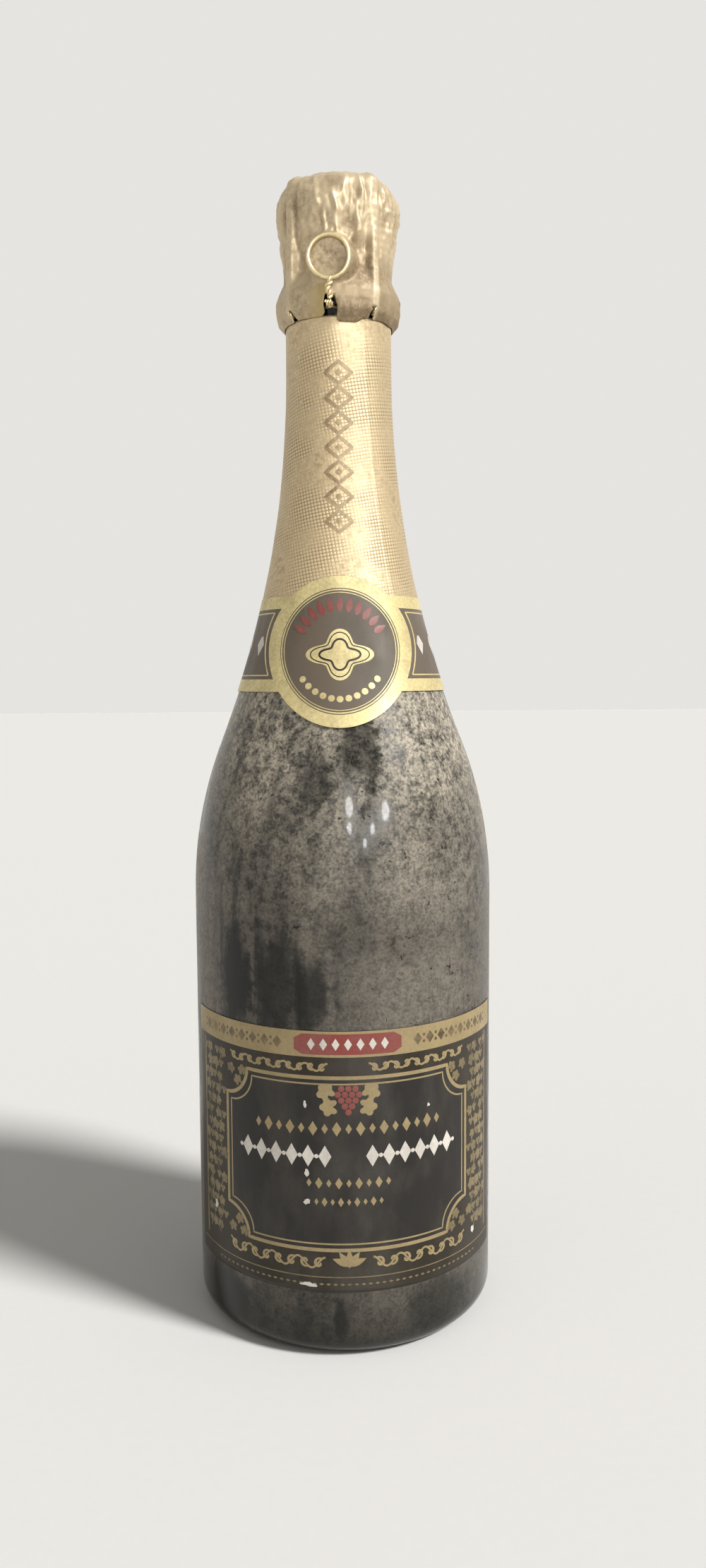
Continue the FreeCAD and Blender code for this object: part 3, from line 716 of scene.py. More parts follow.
def dusty_glass(tree, place):
    """Blown bottle-green glass: near black and glossy where wiped, dull grey-beige where dust lies.

    Cellar dust is an even matte film low down, mottled with dark flecks on the shoulder and streaked on
    the left, with a few scratches and wiped patches. Towards the shoulder the dust is painted paler, partly
    thicker dust and partly painted light from above.
    """
    x, y, z = add(tree, "SeparateXYZ", {"Vector": place}).outputs
    hanging = add(tree, "Mapping", {"Vector": place, "Scale": (1, 1, 0.14)})
    film = add(tree, "TexNoise", {"Vector": place, "Scale": 1 / (30 * MM), "Detail": 4.0})
    mottle = add(tree, "TexNoise",
                 {"Vector": place, "Scale": 1 / (2.6 * MM), "Detail": 7.0, "Roughness": 0.66})
    streak = add(tree, "TexNoise",
                 {"Vector": hanging, "Scale": 1 / (5 * MM), "Detail": 4.0, "Roughness": 0.55})
    scratch = add(tree, "TexNoise",
                  {"Vector": place, "Scale": 1 / (2.6 * MM), "Detail": 2.0, "Distortion": 1.6})
    powder = add(tree, "TexNoise",
                 {"Vector": place, "Scale": 1 / (0.8 * MM), "Detail": 3.0, "Roughness": 0.6})

    # Share of dust that stays: uneven film, handled heel, covered neck, scratches
    layers = [
        add(tree, "MapRange", {"Value": film, 1: 0.36, 2: 0.60, 3: 0.55, 4: 1.0}),
        add(tree, "MapRange", {"Value": z, 1: 2 * MM, 2: 32 * MM, 3: 0.12, 4: 1.0}),
        add(tree, "MapRange", {"Value": z, 1: 208 * MM, 2: 200 * MM}),
        add(tree, "MapRange", {"Value": scratch, 1: 0.27, 2: 0.31, 3: 0.08, 4: 1.0}),
    ]
    # Dark flecks in patches and all over the shoulder, drips on the left
    patches = add(tree, "MapRange", {"Value": film, 1: 0.56, 2: 0.40, 3: 0.06, 4: 0.6})
    raised = add(tree, "MapRange", {"Value": z, 1: 125 * MM, 2: 165 * MM, 4: 0.72})
    flecked = add(tree, "Math", {0: patches, 1: raised}, operation="MAXIMUM")
    left = add(tree, "MapRange", {"Value": x, 1: 12 * MM, 2: -22 * MM, 3: 0.1, 4: 0.55})
    flecks = add(tree, "MapRange", {"Value": mottle, 1: 0.53, 2: 0.39})
    drips = add(tree, "MapRange", {"Value": streak, 1: 0.56, 2: 0.38})
    for amount, there in ((flecks, flecked), (drips, left)):
        lost = add(tree, "Math", {0: amount, 1: there}, operation="MULTIPLY")
        layers.append(add(tree, "MapRange", {"Value": lost, 3: 1.0, 4: 0.12}))
    # Wiped patches on the front, their edges torn by streaks and mottling
    ragged = add(tree, "Math", {0: mottle, 1: 0.5, 2: -0.25}, operation="MULTIPLY_ADD")
    torn = add(tree, "Math", {0: streak, 1: 1.1, 2: ragged}, operation="MULTIPLY_ADD")
    front = add(tree, "MapRange", {"Value": y, 1: -2 * MM, 2: -8 * MM})
    for middle, height, half_width, half_height, share in WIPED:
        wide = add(tree, "Math", {0: x, 1: 1 / half_width, 2: -middle / half_width},
                   operation="MULTIPLY_ADD")
        high = add(tree, "Math", {0: z, 1: 1 / half_height, 2: -height / half_height},
                   operation="MULTIPLY_ADD")
        flat = add(tree, "CombineXYZ", {"X": wide, "Y": high})
        away = add(tree, "VectorMath", {0: flat}, operation="LENGTH")
        edge = add(tree, "Math", {0: away, 1: torn}, operation="ADD")
        clean = add(tree, "MapRange", {"Value": edge, 1: 1.75, 2: 1.05, 3: 0.0, 4: share},
                    interpolation_type="SMOOTHSTEP")
        there = add(tree, "Math", {0: clean, 1: front}, operation="MULTIPLY")
        layers.append(add(tree, "Math", {0: 1.0, 1: there}, operation="SUBTRACT"))
    dust = layers[0]
    for layer in layers[1:]:
        dust = add(tree, "Math", {0: dust, 1: layer}, operation="MULTIPLY")

    clumps = add(tree, "Math", {0: mottle, 1: 0.4, 2: -0.02}, operation="MULTIPLY_ADD")
    grains = add(tree, "Math", {0: powder, 1: 0.6, 2: clumps}, operation="MULTIPLY_ADD")
    tone = add(tree, "MapRange", {"Value": grains, 1: 0.36, 2: 0.58})
    # Paler dust towards the shoulder: thicker dust there, and painted light from above as well
    settled_and_lit = add(tree, "MapRange", {"Value": z, 1: 115 * MM, 2: 172 * MM})
    pale = add(tree, "Mix", {0: settled_and_lit, MIX_A: paint("dust_light"), MIX_B: paint("dust_and_top_light")},
               data_type="RGBA")
    dry = add(tree, "Mix", {0: tone, MIX_A: paint("dust_dark"), MIX_B: pale}, data_type="RGBA")
    seen = add(tree, "Mix", {0: dust, MIX_A: paint("glass"), MIX_B: dry}, data_type="RGBA")
    rough = add(tree, "MapRange", {"Value": dust, 1: 0.1, 2: 0.85, 3: 0.07, 4: 0.55})
    grain = add(tree, "Bump", {"Height": dust, "Strength": 0.15, "Distance": 0.1 * MM})
    return {
        "Base Color": seen, "Roughness": rough, "Normal": grain, "IOR": 1.52, "Specular IOR Level": 0.22,
        "Coat Weight": 0.12, "Coat Roughness": 0.05}


def foil(tree, place, base, embossed, metallic):
    """Gold-lacquered aluminium foil: a soft warm sheen, dulled by dirt and darkened as painted shade in its
    hollows and creases.

    Rows of embossed dots glint one by one over painted shade between them, ridges on the cap are kept bright
    as a painted highlight, and a rubbed patch turns olive.
    """
    foils = settings("bottle_foils")
    broad = add(tree, "TexNoise", {"Vector": place, "Scale": 1 / (11 * MM), "Detail": 5.0})
    fine = add(tree, "TexNoise",
               {"Vector": place, "Scale": 1 / (1.3 * MM), "Detail": 5.0, "Roughness": 0.65})
    worn = add(tree, "MapRange", {"Value": broad, 1: 0.34, 2: 0.66, 3: 0.05, 4: 0.65})
    speck = add(tree, "MapRange", {"Value": fine, 1: 0.40, 2: 0.62, 3: 0.25, 4: 1.0})
    dull = add(tree, "Math", {0: worn, 1: speck}, operation="MULTIPLY")

    # Dots in slanting rows on the flat sheet, fainter where the foil is worn and on the collar; between them
    # the foil is darkened with dirt and painted shade
    pitch = math.pi / foils.dot_pitch
    slanted = add(tree, "Mapping", {
        "Vector": place.node.outputs["UV"], "Rotation": (0, 0, -foils.dot_slope), "Scale": (pitch, pitch, 1)})
    flat = add(tree, "SeparateXYZ", {"Vector": slanted})
    waves = [add(tree, "Math", {0: flat.outputs[k]}, operation="SINE") for k in (0, 1)]
    both = add(tree, "Math", {0: waves[0], 1: waves[1]}, operation="MULTIPLY")
    dots = add(tree, "Math", {0: both}, operation="ABSOLUTE")
    kept = add(tree, "MapRange", {"Value": broad, 1: 0.62, 2: 0.40, 3: embossed * 0.35, 4: embossed})
    height = add(tree, "SeparateXYZ", {"Vector": place}).outputs["Z"]
    below = add(tree, "MapRange", {"Value": height, 1: 283 * MM, 2: 272 * MM, 3: 0.15, 4: 1.0})
    crisp = add(tree, "Math", {0: kept, 1: below}, operation="MULTIPLY")
    hollow = add(tree, "MapRange", {"Value": dots, 1: 0.10, 2: 0.55, 3: crisp, 4: 0.0})

    # Dirt and painted shade that the cap's foil carries from its shape
    deep = add(tree, "Attribute", attribute_name="hollow").outputs["Fac"]
    rubbed = add(tree, "Attribute", attribute_name="rubbed").outputs["Fac"]
    # Dull film, with the painted shade between the dots
    film = add(tree, "Math", {0: dull, 1: hollow}, operation="MAXIMUM")
    grimy_and_shaded = add(tree, "Math", {0: film, 1: deep}, operation="ADD", use_clamp=True)
    lacquer = add(tree, "Mix", {0: grimy_and_shaded, MIX_A: paint(base), MIX_B: paint("foil_dirt_and_shade")}, data_type="RGBA")
    seen = add(tree, "Mix", {0: rubbed, MIX_A: lacquer, MIX_B: paint("foil_olive")}, data_type="RGBA")
    rough = add(tree, "MapRange", {"Value": grimy_and_shaded, 1: 0.0, 2: 1.0, 3: 0.40, 4: 0.62})
    raised = add(tree, "Math", {0: dots, 1: crisp}, operation="MULTIPLY")
    relief = add(tree, "Math", {0: fine, 1: 0.35, 2: raised}, operation="MULTIPLY_ADD")
    bump = add(tree, "Bump", {"Height": relief, "Strength": 0.5, "Distance": 0.18 * MM})
    return {"Base Color": seen, "Roughness": rough, "Normal": bump, "Metallic": metallic}


def varnished_paper(tree, place, ground):
    """Printed and varnished paper: a dark ground with a low sheen under an uneven veil of dust."""
    hanging = add(tree, "Mapping", {"Vector": place, "Scale": (1, 1, 0.5)})
    veil = add(tree, "TexNoise",
               {"Vector": hanging, "Scale": 1 / (14 * MM), "Detail": 6.0, "Roughness": 0.6})
    fibre = add(tree, "TexNoise", {"Vector": place, "Scale": 1 / (0.7 * MM), "Detail": 2.0})
    thin = add(tree, "MapRange", {"Value": veil, 1: 0.42, 2: 0.70, 3: 0.02, 4: 0.50})
    flecked = add(tree, "Math", {0: fibre, 1: 0.5, 2: 0.75}, operation="MULTIPLY_ADD")
    dust = add(tree, "Math", {0: thin, 1: flecked}, operation="MULTIPLY")
    seen = add(tree, "Mix", {0: dust, MIX_A: paint(ground), MIX_B: paint("dust_dark")}, data_type="RGBA")
    rough = add(tree, "MapRange", {"Value": dust, 1: 0.0, 2: 0.6, 3: 0.34, 4: 0.7})
    bump = add(tree, "Bump", {"Height": fibre, "Strength": 0.12, "Distance": 0.05 * MM})
    return {"Base Color": seen, "Roughness": rough, "Normal": bump, "Specular IOR Level": 0.3}


def ink(tree, place, fresh, faded, metallic, wear):
    """Ink on paper: even where fresh, mottled and faded where dust and wear have reached it."""
    broad = add(tree, "TexNoise", {"Vector": place, "Scale": 1 / (8 * MM), "Detail": 5.0})
    fine = add(tree, "TexNoise",
               {"Vector": place, "Scale": 1 / (0.9 * MM), "Detail": 4.0, "Roughness": 0.7})
    both = add(tree, "Math", {0: broad, 1: fine}, operation="ADD")
    gone = add(tree, "MapRange", {"Value": both, 1: 0.78, 2: 1.25, 3: 0.0, 4: wear})
    seen = add(tree, "Mix", {0: gone, MIX_A: paint(fresh), MIX_B: paint(faded)}, data_type="RGBA")
    rough = add(tree, "MapRange", {"Value": gone, 1: 0.0, 2: 1.0, 3: 0.36, 4: 0.62})
    bump = add(tree, "Bump", {"Height": fine, "Strength": 0.1, "Distance": 0.04 * MM})
    return {"Base Color": seen, "Roughness": rough, "Normal": bump, "Metallic": metallic}


def gilt_wire(tree, place):
    """Drawn steel wire with a gold wash: bright along its back, brown where it has tarnished."""
    spots = add(tree, "TexNoise",
                {"Vector": place, "Scale": 1 / (1.8 * MM), "Detail": 4.0, "Roughness": 0.6})
    tarnish = add(tree, "MapRange", {"Value": spots, 1: 0.52, 2: 0.75, 3: 0.0, 4: 0.6})
    seen = add(tree, "Mix", {0: tarnish, MIX_A: paint("wire"), MIX_B: paint("stamp")}, data_type="RGBA")
    rough = add(tree, "MapRange", {"Value": tarnish, 1: 0.0, 2: 0.7, 3: 0.30, 4: 0.5})
    return {"Base Color": seen, "Roughness": rough, "Metallic": 0.8}


def lacquered_tinplate(tree, place):
    """Pressed tinplate under gold lacquer, with faint rings from the press tool and specks of rust."""
    split = add(tree, "SeparateXYZ", {"Vector": place}).outputs
    flat = add(tree, "CombineXYZ", {"X": split["X"], "Y": split["Y"]})
    away = add(tree, "VectorMath", {0: flat}, operation="LENGTH")
    rings = add(tree, "Math", {0: away, 1: FULL_TURN / (0.8 * MM)}, operation="MULTIPLY")
    wave = add(tree, "Math", {0: rings}, operation="SINE")
    spots = add(tree, "TexNoise", {"Vector": place, "Scale": 1 / (2.5 * MM), "Detail": 5.0})
    rust = add(tree, "MapRange", {"Value": spots, 1: 0.55, 2: 0.75, 3: 0.0, 4: 0.6})
    seen = add(tree, "Mix", {0: rust, MIX_A: paint("wire"), MIX_B: paint("cork_dark")}, data_type="RGBA")
    bump = add(tree, "Bump", {"Height": wave, "Strength": 0.2, "Distance": 0.04 * MM})
    rough = add(tree, "MapRange", {"Value": rust, 1: 0.0, 2: 0.6, 3: 0.25, 4: 0.6})
    return {"Base Color": seen, "Roughness": rough, "Normal": bump, "Metallic": 1.0}


def cork(tree, place, grain):
    """Cork: warm tan, matte and slightly soft, with dark bark between grains of the size given."""
    grains = add(tree, "TexVoronoi", {"Vector": place, "Scale": 1 / grain}, feature="F1")
    edges = add(tree, "TexVoronoi", {"Vector": place, "Scale": 1 / grain}, feature="DISTANCE_TO_EDGE")
    pores = add(tree, "TexNoise", {"Vector": place, "Scale": 1 / (0.6 * MM), "Detail": 4.0})
    shade = add(tree, "SeparateColor", {"Color": grains.outputs["Color"]})
    bark = add(tree, "MapRange", {"Value": edges, 1: 0.0, 2: 0.12, 3: 0.7, 4: 0.0})
    spread = add(tree, "Math", {0: shade, 1: 0.35}, operation="MULTIPLY")
    pitted = add(tree, "MapRange", {"Value": pores, 1: 0.55, 2: 0.75, 3: 0.0, 4: 0.6})
    dark = add(tree, "Math", {0: bark, 1: spread}, operation="MAXIMUM")
    deep = add(tree, "Math", {0: dark, 1: pitted}, operation="MAXIMUM")
    seen = add(tree, "Mix", {0: deep, MIX_A: paint("cork"), MIX_B: paint("cork_dark")}, data_type="RGBA")
    rough = add(tree, "MapRange", {"Value": deep, 3: 0.75, 4: 0.9})
    bump = add(tree, "Bump", {"Height": deep, "Strength": 0.4, "Distance": 0.15 * MM}, invert=True)
    return {"Base Color": seen, "Roughness": rough, "Normal": bump}


def pale_wine(tree, place):
    """Sparkling wine at rest: clear pale gold, with a faint cloud of lees."""
    lees = add(tree, "TexNoise", {"Vector": place, "Scale": 1 / (20 * MM), "Detail": 2.0})
    cloud = add(tree, "MapRange", {"Value": lees, 1: 0.4, 2: 0.7, 3: 0.0, 4: 0.25})
    seen = add(tree, "Mix", {0: cloud, MIX_A: paint("wine"), MIX_B: paint("ivory")}, data_type="RGBA")
    return {"Base Color": seen, "Transmission Weight": 1.0, "Roughness": 0.02, "IOR": 1.34}


def pale_floor(tree, place):
    """Matte paper floor with a faint tooth."""
    tooth = add(tree, "TexNoise", {"Vector": place, "Scale": 1 / (3 * MM), "Detail": 3.0})
    tone = add(tree, "MapRange", {"Value": tooth, 3: 0.0, 4: 0.04})
    seen = add(tree, "Mix", {0: tone, MIX_A: paint("floor"), MIX_B: paint("dust_light")}, data_type="RGBA")
    return {"Base Color": seen, "Roughness": 0.9}


# Finishes by name: the function that gives its shader's inputs, and that function's values
FINISHES = {
    "Dusty bottle-green glass": (dusty_glass,),
    "Pale gold wine": (pale_wine,),
    "Gilt steel wire": (gilt_wire,),
    "Gold-lacquered tinplate": (lacquered_tinplate,),
    "Pale paper floor": (pale_floor,),
    # Cork, by the size of its grains: pressed granules, and the broad grain of whole discs
    "Agglomerate cork": (cork, 2.2 * MM),
    "Natural cork": (cork, 5 * MM),
    # Foil, by its colour, the depth of its dots and how metallic it still looks
    "Crumpled gold foil": (foil, "cap_foil", 0.2, 0.3),
    "Embossed gold foil": (foil, "neck_foil", 0.85, 0.4),
    # Paper, by its ground: near black on the body, hazed by dust on the neck
    "Varnished label paper": (varnished_paper, "label_ground"),
    "Dusty label paper": (varnished_paper, "neck_ground"),
    "Varnished black panel": (varnished_paper, "label_black"),
    # Inks, by fresh and faded colour, how metallic they look and how far they have worn
    # Bronze powder: bright on the neck label, beige under dust on the body, sunk in fine ornament
    "Gold ink": (ink, "gilt", "gilt_dusty", 0.2, 0.7),
    "Dusty gold ink": (ink, "gilt_dusty", "gilt_dull", 0.15, 0.7),
    "Dull gold ink": (ink, "gilt_dull", "label_ground", 0.1, 0.55),
    # Letterpress: brown worn off the gold, red faded to dusty rose, opaque clean ivory
    "Brown ink": (ink, "brown", "gilt_dusty", 0.0, 0.55),
    "Red ink": (ink, "red", "dust_light", 0.0, 0.30),
    "Ivory ink": (ink, "ivory", "dust_light", 0.0, 0.35),
    # Stamping half worn away from the foil
    "Worn brown stamping": (ink, "stamp", "neck_foil", 0.2, 0.55),
}


def finish(name):
    """Material of a name, built when it is first asked for."""
    kept = bpy.data.materials.get(name)
    if kept:
        return kept
    made = bpy.data.materials.new(name)
    made.use_nodes = True
    tree = made.node_tree
    tree.nodes.clear()
    shader = add(tree, "BsdfPrincipled")
    add(tree, "OutputMaterial", {"Surface": shader})
    place = add(tree, "TexCoord").outputs["Object"]
    build, *values = FINISHES[name]
    plug(tree, shader, build(tree, place, *values))
    return made


# Glass that the outline's sizes leave open
PUNT_ARC = 9 * MM  # between the punt's cone and its top
FOOT_ARC = 2 * MM  # at the punt's foot, outside and inside
BASE = 8 * MM  # height of the lowest wine above the table
BASE_ARC = 4.5 * MM  # inside, between wall and base
PUNT_WALL = 6.5 * MM  # glass over the punt
PUNT_SIDE = 2 * MM  # how far that glass reaches past the punt's top
BASE_SIDE = 1 * MM  # and past its foot
MOUTH_BEVEL = 0.8 * MM  # at the edge of the bore
GLASS_STEPS = 224  # corners round the glass

# Ring and lip of the mouth: height below the lip's top, reach out from the neck, rounding
MOUTH = (
    (20.1 * MM, 0, 3 * MM),
    (17.1 * MM, -0.5 * MM, 3 * MM),
    (14.5 * MM, -0.5 * MM, 0),
    (14.5 * MM, 0.55 * MM, 1.4 * MM),
    (8 * MM, 0.55 * MM, 1.4 * MM),
    (6.5 * MM, -1.55 * MM, 1.4 * MM),
    (4.3 * MM, -1.55 * MM, 0.8 * MM),
    (3.5 * MM, -0.85 * MM, 0.8 * MM),
    (0, -0.85 * MM, 1.5 * MM),
)


class BOTTLE_OT_glass(bpy.types.Operator):
    """Turn the glass from its outline, with the punt, the mouth and a slight ripple"""
    bl_idname = "bottle.glass"
    bl_label = "Glass"

    def execute(self, context):
        glass = settings("bottle_glass")
        line = wall_line()
        body, neck, lip = glass.body_radius, glass.neck_radius, glass.lip_height
        inner = body - glass.wall
        foot = body - glass.heel_arc - glass.foot_width
        start = glass.shoulder_start
        straight_run = start - glass.heel_arc
        neck_start = lip - glass.neck_length
        shoulder = [start + (neck_start - start) * k / 60 for k in range(61)]
        outside = rounded([
            (0, glass.punt_depth, 0), (glass.punt_top, glass.punt_depth, PUNT_ARC), (foot, 0, FOOT_ARC),
            (body, 0, glass.heel_arc), (body, start, 0)], 0.8 * MM)[:-1]
        outside += [Vector((body, glass.heel_arc + straight_run * k / 24)) for k in range(1, 24)]
        outside += [Vector((line(z), z)) for z in shoulder]
        mouth = [(neck + out, lip - down, arc) for down, out, arc in MOUTH]
        edge = (glass.mouth_radius + MOUTH_BEVEL, lip, 0)
        outside += rounded([(neck, neck_start, 0), *mouth, edge], 0.5 * MM)[1:]

        inside = [Vector((glass.mouth_radius, lip - MOUTH_BEVEL)), Vector((glass.mouth_radius, neck_start))]
        inside += [Vector((line(z) - glass.wall, z)) for z in reversed(shoulder[:-4])]
        over_punt = glass.punt_depth + PUNT_WALL
        inside += rounded([
            (inner, start, 0), (inner, BASE, BASE_ARC), (foot + BASE_SIDE, BASE, FOOT_ARC),
            (glass.punt_top + PUNT_SIDE, over_punt, PUNT_ARC), (0, over_punt, 0)], 1 * MM)[1:]
        vertices, faces = turned([(p.x, p.y) for p in outside + inside], GLASS_STEPS, glass.ripple)
        made = mesh_object("bottle_glass", vertices, faces, finish("Dusty bottle-green glass"))
        dress(made, "bottle", "bottle_glass", ("glass_bottle",))
        return {"FINISHED"}


class BOTTLE_OT_contents(bpy.types.Operator):
    """Finish the wine, the cork's three pieces and the pressed cap, which keep their solids"""
    bl_idname = "bottle.contents"
    bl_label = "Wine, cork and cap"

    def execute(self, context):
        for node, name in (
                ("wine", "Pale gold wine"),
                ("cork_body", "Agglomerate cork"),
                ("cork_disc_upper", "Natural cork"),
                ("cork_disc_lower", "Natural cork"),
                ("cage_cap", "Gold-lacquered tinplate")):
            slots = frame["nodes"][node].data.materials
            slots.clear()
            slots.append(finish(name))
        return {"FINISHED"}


BELT_GAP = 1.6 * MM  # arc from the cage's front to where each end of the belt turns outwards
BELT_END = 1.1 * MM  # how far those ends reach out
BELT_CURL = 1.5 * MM  # half length of the belt's bend round a leg


def leg_turns():
    """Angles of the cage's legs from the front."""
    spread = settings("bottle_cage").leg_spread
    return {
        "cage_leg_front_right": CAGE_TURN + spread,
        "cage_leg_back_right": CAGE_TURN + math.pi - spread,
        "cage_leg_back_left": CAGE_TURN + math.pi + spread,
        "cage_leg_front_left": CAGE_TURN - spread,
    }


def leg_line():
    """Middle of a leg as (radius, height), from the top ring to its hook."""
    cage = settings("bottle_cage")
    corners = [
        (cage.top_ring_radius + cage.strand, cage.top_ring_height, 0),
        (cage.leg_high, cage.top_ring_height, 2.2 * MM),
        (cage.leg_low, cage.hook_height, 1.0 * MM),
        (cage.hook_reach, cage.hook_height, 0)]
    return evenly(rounded(corners, 0.3 * MM), 0.3 * MM)


class BOTTLE_OT_cage(bpy.types.Operator):
    """Wind the cage's legs, top ring and belt from wire"""
    bl_idname = "bottle.cage"
    bl_label = "Wire cage"

    def execute(self, context):
        cage = settings("bottle_cage")
        turns = leg_turns()
        for node, turn in turns.items():
            leg = [around(p.x, turn, p.y) for p in leg_line()]
            wire(node + "_wire", "cage", (node,), leg, cage.strand, cage.lay)
        ring = [around(cage.top_ring_radius, FULL_TURN * k / 90, cage.top_ring_height) for k in range(90)]
        wire("top_ring_wire", "cage", ("cage_top_ring",), ring, cage.strand, cage.lay, closed=True)

        ends = []
        for way in (1, -1):
            reach = CAGE_FRONT * (cage.belt_radius + BELT_END) + CAGE_RIGHT * (way * cage.belt_wire * 0.55)
            ends.append(Vector((reach.x, reach.y, FOLD.z)))
        belt = [ends[0]]
        gap = BELT_GAP / cage.belt_radius
        for k in range(361):
            turn = CAGE_TURN + gap + (FULL_TURN - 2 * gap) * k / 360
            bend = 0.0
            for leg in turns.values():
                away = math.remainder(turn - leg, FULL_TURN) * cage.belt_radius
                bend = max(bend, math.exp(-(away / BELT_CURL) ** 2))
            radius = cage.belt_radius + (cage.belt_at_leg - cage.belt_radius) * bend
            belt.append(around(radius, turn, FOLD.z))
        belt.append(ends[1])
        wire("belt_wire", "cage", ("cage_belt",), belt, cage.belt_wire)
        return {"FINISHED"}


STUB_START = 1.6 * MM  # inner end of the twisted stub, out from the belt
TWIST_STRAND = 0.86 * MM  # each of the two strands of stub and stem
TWIST_LAY, STEM_LAY = 2.4 * MM, 2.6 * MM
KNUCKLE_WIRE = 0.6 * MM  # wire of the knuckle that the loop folds on
KNUCKLE_RADIUS = 0.62 * MM
KNUCKLE_WIDTH = 1.9 * MM
KNUCKLE_TURNS = 3
STEM_START = 1.25 * MM  # stem's lower end above the knuckle's middle
STEM_SWAY = 0.35 * MM


class BOTTLE_OT_loop(bpy.types.Operator):
    """Wind the twisted wire and the pull loop"""
    bl_idname = "bottle.loop"
    bl_label = "Twist and pull loop"

    def execute(self, context):
        cage = settings("bottle_cage")
        plane = FOLD.to_2d().length
        root = cage.belt_radius + STUB_START

        def at(forward, right, height):
            """Point in front of the bottle's axis, along the way that the cage faces."""
            return CAGE_FRONT * forward + CAGE_RIGHT * right + Vector((0, 0, height))

        stub = [at(root + (plane - root) * k / 8, 0, FOLD.z) for k in range(9)]
        wire("twist_strands", "twist", ("wire_twist",), stub, TWIST_STRAND, TWIST_LAY, spacing=0.2 * MM)
        coil = []
        for k in range(73):
            turn = FULL_TURN * KNUCKLE_TURNS * k / 72
            coil.append(at(plane + KNUCKLE_RADIUS * math.cos(turn), (k / 72 - 0.5) * KNUCKLE_WIDTH,
                           FOLD.z + KNUCKLE_RADIUS * math.sin(turn)))
        wire("twist_knuckle", "twist", (), coil, KNUCKLE_WIRE, spacing=0.15 * MM)

        centre = FOLD.z + cage.loop_rise
        low = FOLD.z + STEM_START
        high = centre - cage.loop_radius
        stem = []
        for k in range(25):
            share = k / 24
            stem.append(at(plane, STEM_SWAY * math.sin(3 * share * math.pi), low + (high - low) * share))
        wire("loop_stem", "loop", ("pull_loop",), stem, TWIST_STRAND, STEM_LAY, spacing=0.2 * MM)
        ring = []
        for k in range(96):
            turn = FULL_TURN * k / 96
            radius = cage.loop_radius * (1 + 0.015 * math.sin(2 * turn + 0.6) + 0.01 * math.sin(3 * turn))
            ring.append(at(plane, radius * math.sin(turn), centre - radius * math.cos(turn)))
        wire("loop_ring", "loop", (), ring, cage.loop_wire, closed=True)
        return {"FINISHED"}


# Heights on the foil cap, above the table
COLLAR_LOW, COLLAR_HIGH = 287.4 * MM, 289.8 * MM  # round the ring of the mouth
WAIST_LOW, WAIST_HIGH = 295.2 * MM, 300.5 * MM  # drawn in round the lip
HEAD_LOW, HEAD_HIGH = 311.5 * MM, 318.6 * MM  # round the cork's head
CROWN_EDGE = 322.1 * MM  # edge of the pressed cap
TIGHT, LOOSE = 294 * MM, 304 * MM  # from tight on the glass to loose over the cork
CALM_LOW, CALM_HIGH = 316 * MM, 321 * MM  # where crumples flatten towards the crown
RIPPLE_LOW, RIPPLE_HIGH = 311 * MM, 315 * MM  # where the ripples on the right end
TENT_LOW, TENT_HIGH = 315 * MM, 321 * MM  # where the ridges over the legs widen
FOOT_LOW, FOOT_HIGH = 283.4 * MM, 286 * MM  # where the foil begins to rise over the legs
CAP_COLUMNS = 300
FOLD_SIZE, CREASE_SIZE = 4.6 * MM, 2.1 * MM
RIPPLE_PITCH, RIPPLE_HEIGHT = 1.8 * MM, 0.06 * MM
CAP_ARC = 16 * MM  # radius at which the cap's foil is measured flat
LEG_INNER, LEG_OUTER = 6 * MM, 12 * MM  # radii between which the legs begin to show on the crown
LEG_REACH = 9 * MM  # how far a leg lifts the foil on each side
LEG_FLAT = 0.75 * MM  # half width of the ridge over a leg
LEG_FURROW = 3 * MM  # width of the furrow beside it
PATCH_TOP = 290.6 * MM  # upper edge of the rubbed patch

# Deep dents beside the legs, each also darkened with painted shade: degrees from the front, height, half
# width, half height, depth
DIMPLES = (
    (-61, 0.3120, 0.0013, 0.0026, 0.0009),
    (-61, 0.3045, 0.0012, 0.0034, 0.0010),
    (-42, 0.3090, 0.0010, 0.0030, 0.0006),
    (31, 0.3018, 0.0008, 0.0018, 0.0008),
    (30, 0.2975, 0.0007, 0.0012, 0.0006),
    (12, 0.3065, 0.0012, 0.0030, 0.0005),
    (150, 0.3080, 0.0012, 0.0030, 0.0008),
    (-120, 0.3100, 0.0012, 0.0030, 0.0008),
)

# Notches in the cap's foil at the feet of the front legs: leg, shift to the right, top
NOTCHES = (
    ("cage_leg_front_right", -0.62 * MM, 285.2 * MM),
    ("cage_leg_front_left", 0.78 * MM, 285.0 * MM),
)
NOTCH_HALF = 0.62 * MM


def cap_line():
    """Outline of the cap's foil without its crumples as (radius, height), from rim to crown."""
    foils = settings("bottle_foils")
    corners = [
        (foils.rim_radius, CAP_LOW.z - 0.8 * MM, 0),
        (foils.collar_radius - 0.5 * MM, CAP_LOW.z + 1.2 * MM, 0.5 * MM),
        (foils.collar_radius, COLLAR_LOW, 2.4 * MM),
        (foils.collar_radius, COLLAR_HIGH, 2.4 * MM),
        (foils.waist_radius, WAIST_LOW, 2.4 * MM),
        (foils.waist_radius, WAIST_HIGH, 2.4 * MM),
        (foils.head_radius, HEAD_LOW, 4 * MM),
        (foils.head_radius - 0.6 * MM, HEAD_HIGH, 5 * MM),
        (foils.crown_radius, CROWN_EDGE, 6 * MM),
        (0, CAP_HIGH.z - 0.75 * MM, 0)]
    return evenly(rounded(corners, 0.3 * MM), 0.42 * MM)


def cap_pleats():
    """Pleats down from the crown: angle, top, length, slant, share of the full height, half width."""
    random.seed(41)
    pleats = []
    for k in range(46):
        pleats.append((
            random.uniform(-math.pi, math.pi), random.uniform(309, 321) * MM, random.uniform(5, 16) * MM,
            random.uniform(-10, 10), random.uniform(0.35, 1.1), random.uniform(0.45, 0.85) * MM))
    pleats.append((math.radians(-4), 318 * MM, 17 * MM, 6.0, 1.6, 0.75 * MM))
    pleats.append((math.radians(-12), 311 * MM, 7 * MM, 1.0, 1.2, 0.7 * MM))
    return pleats


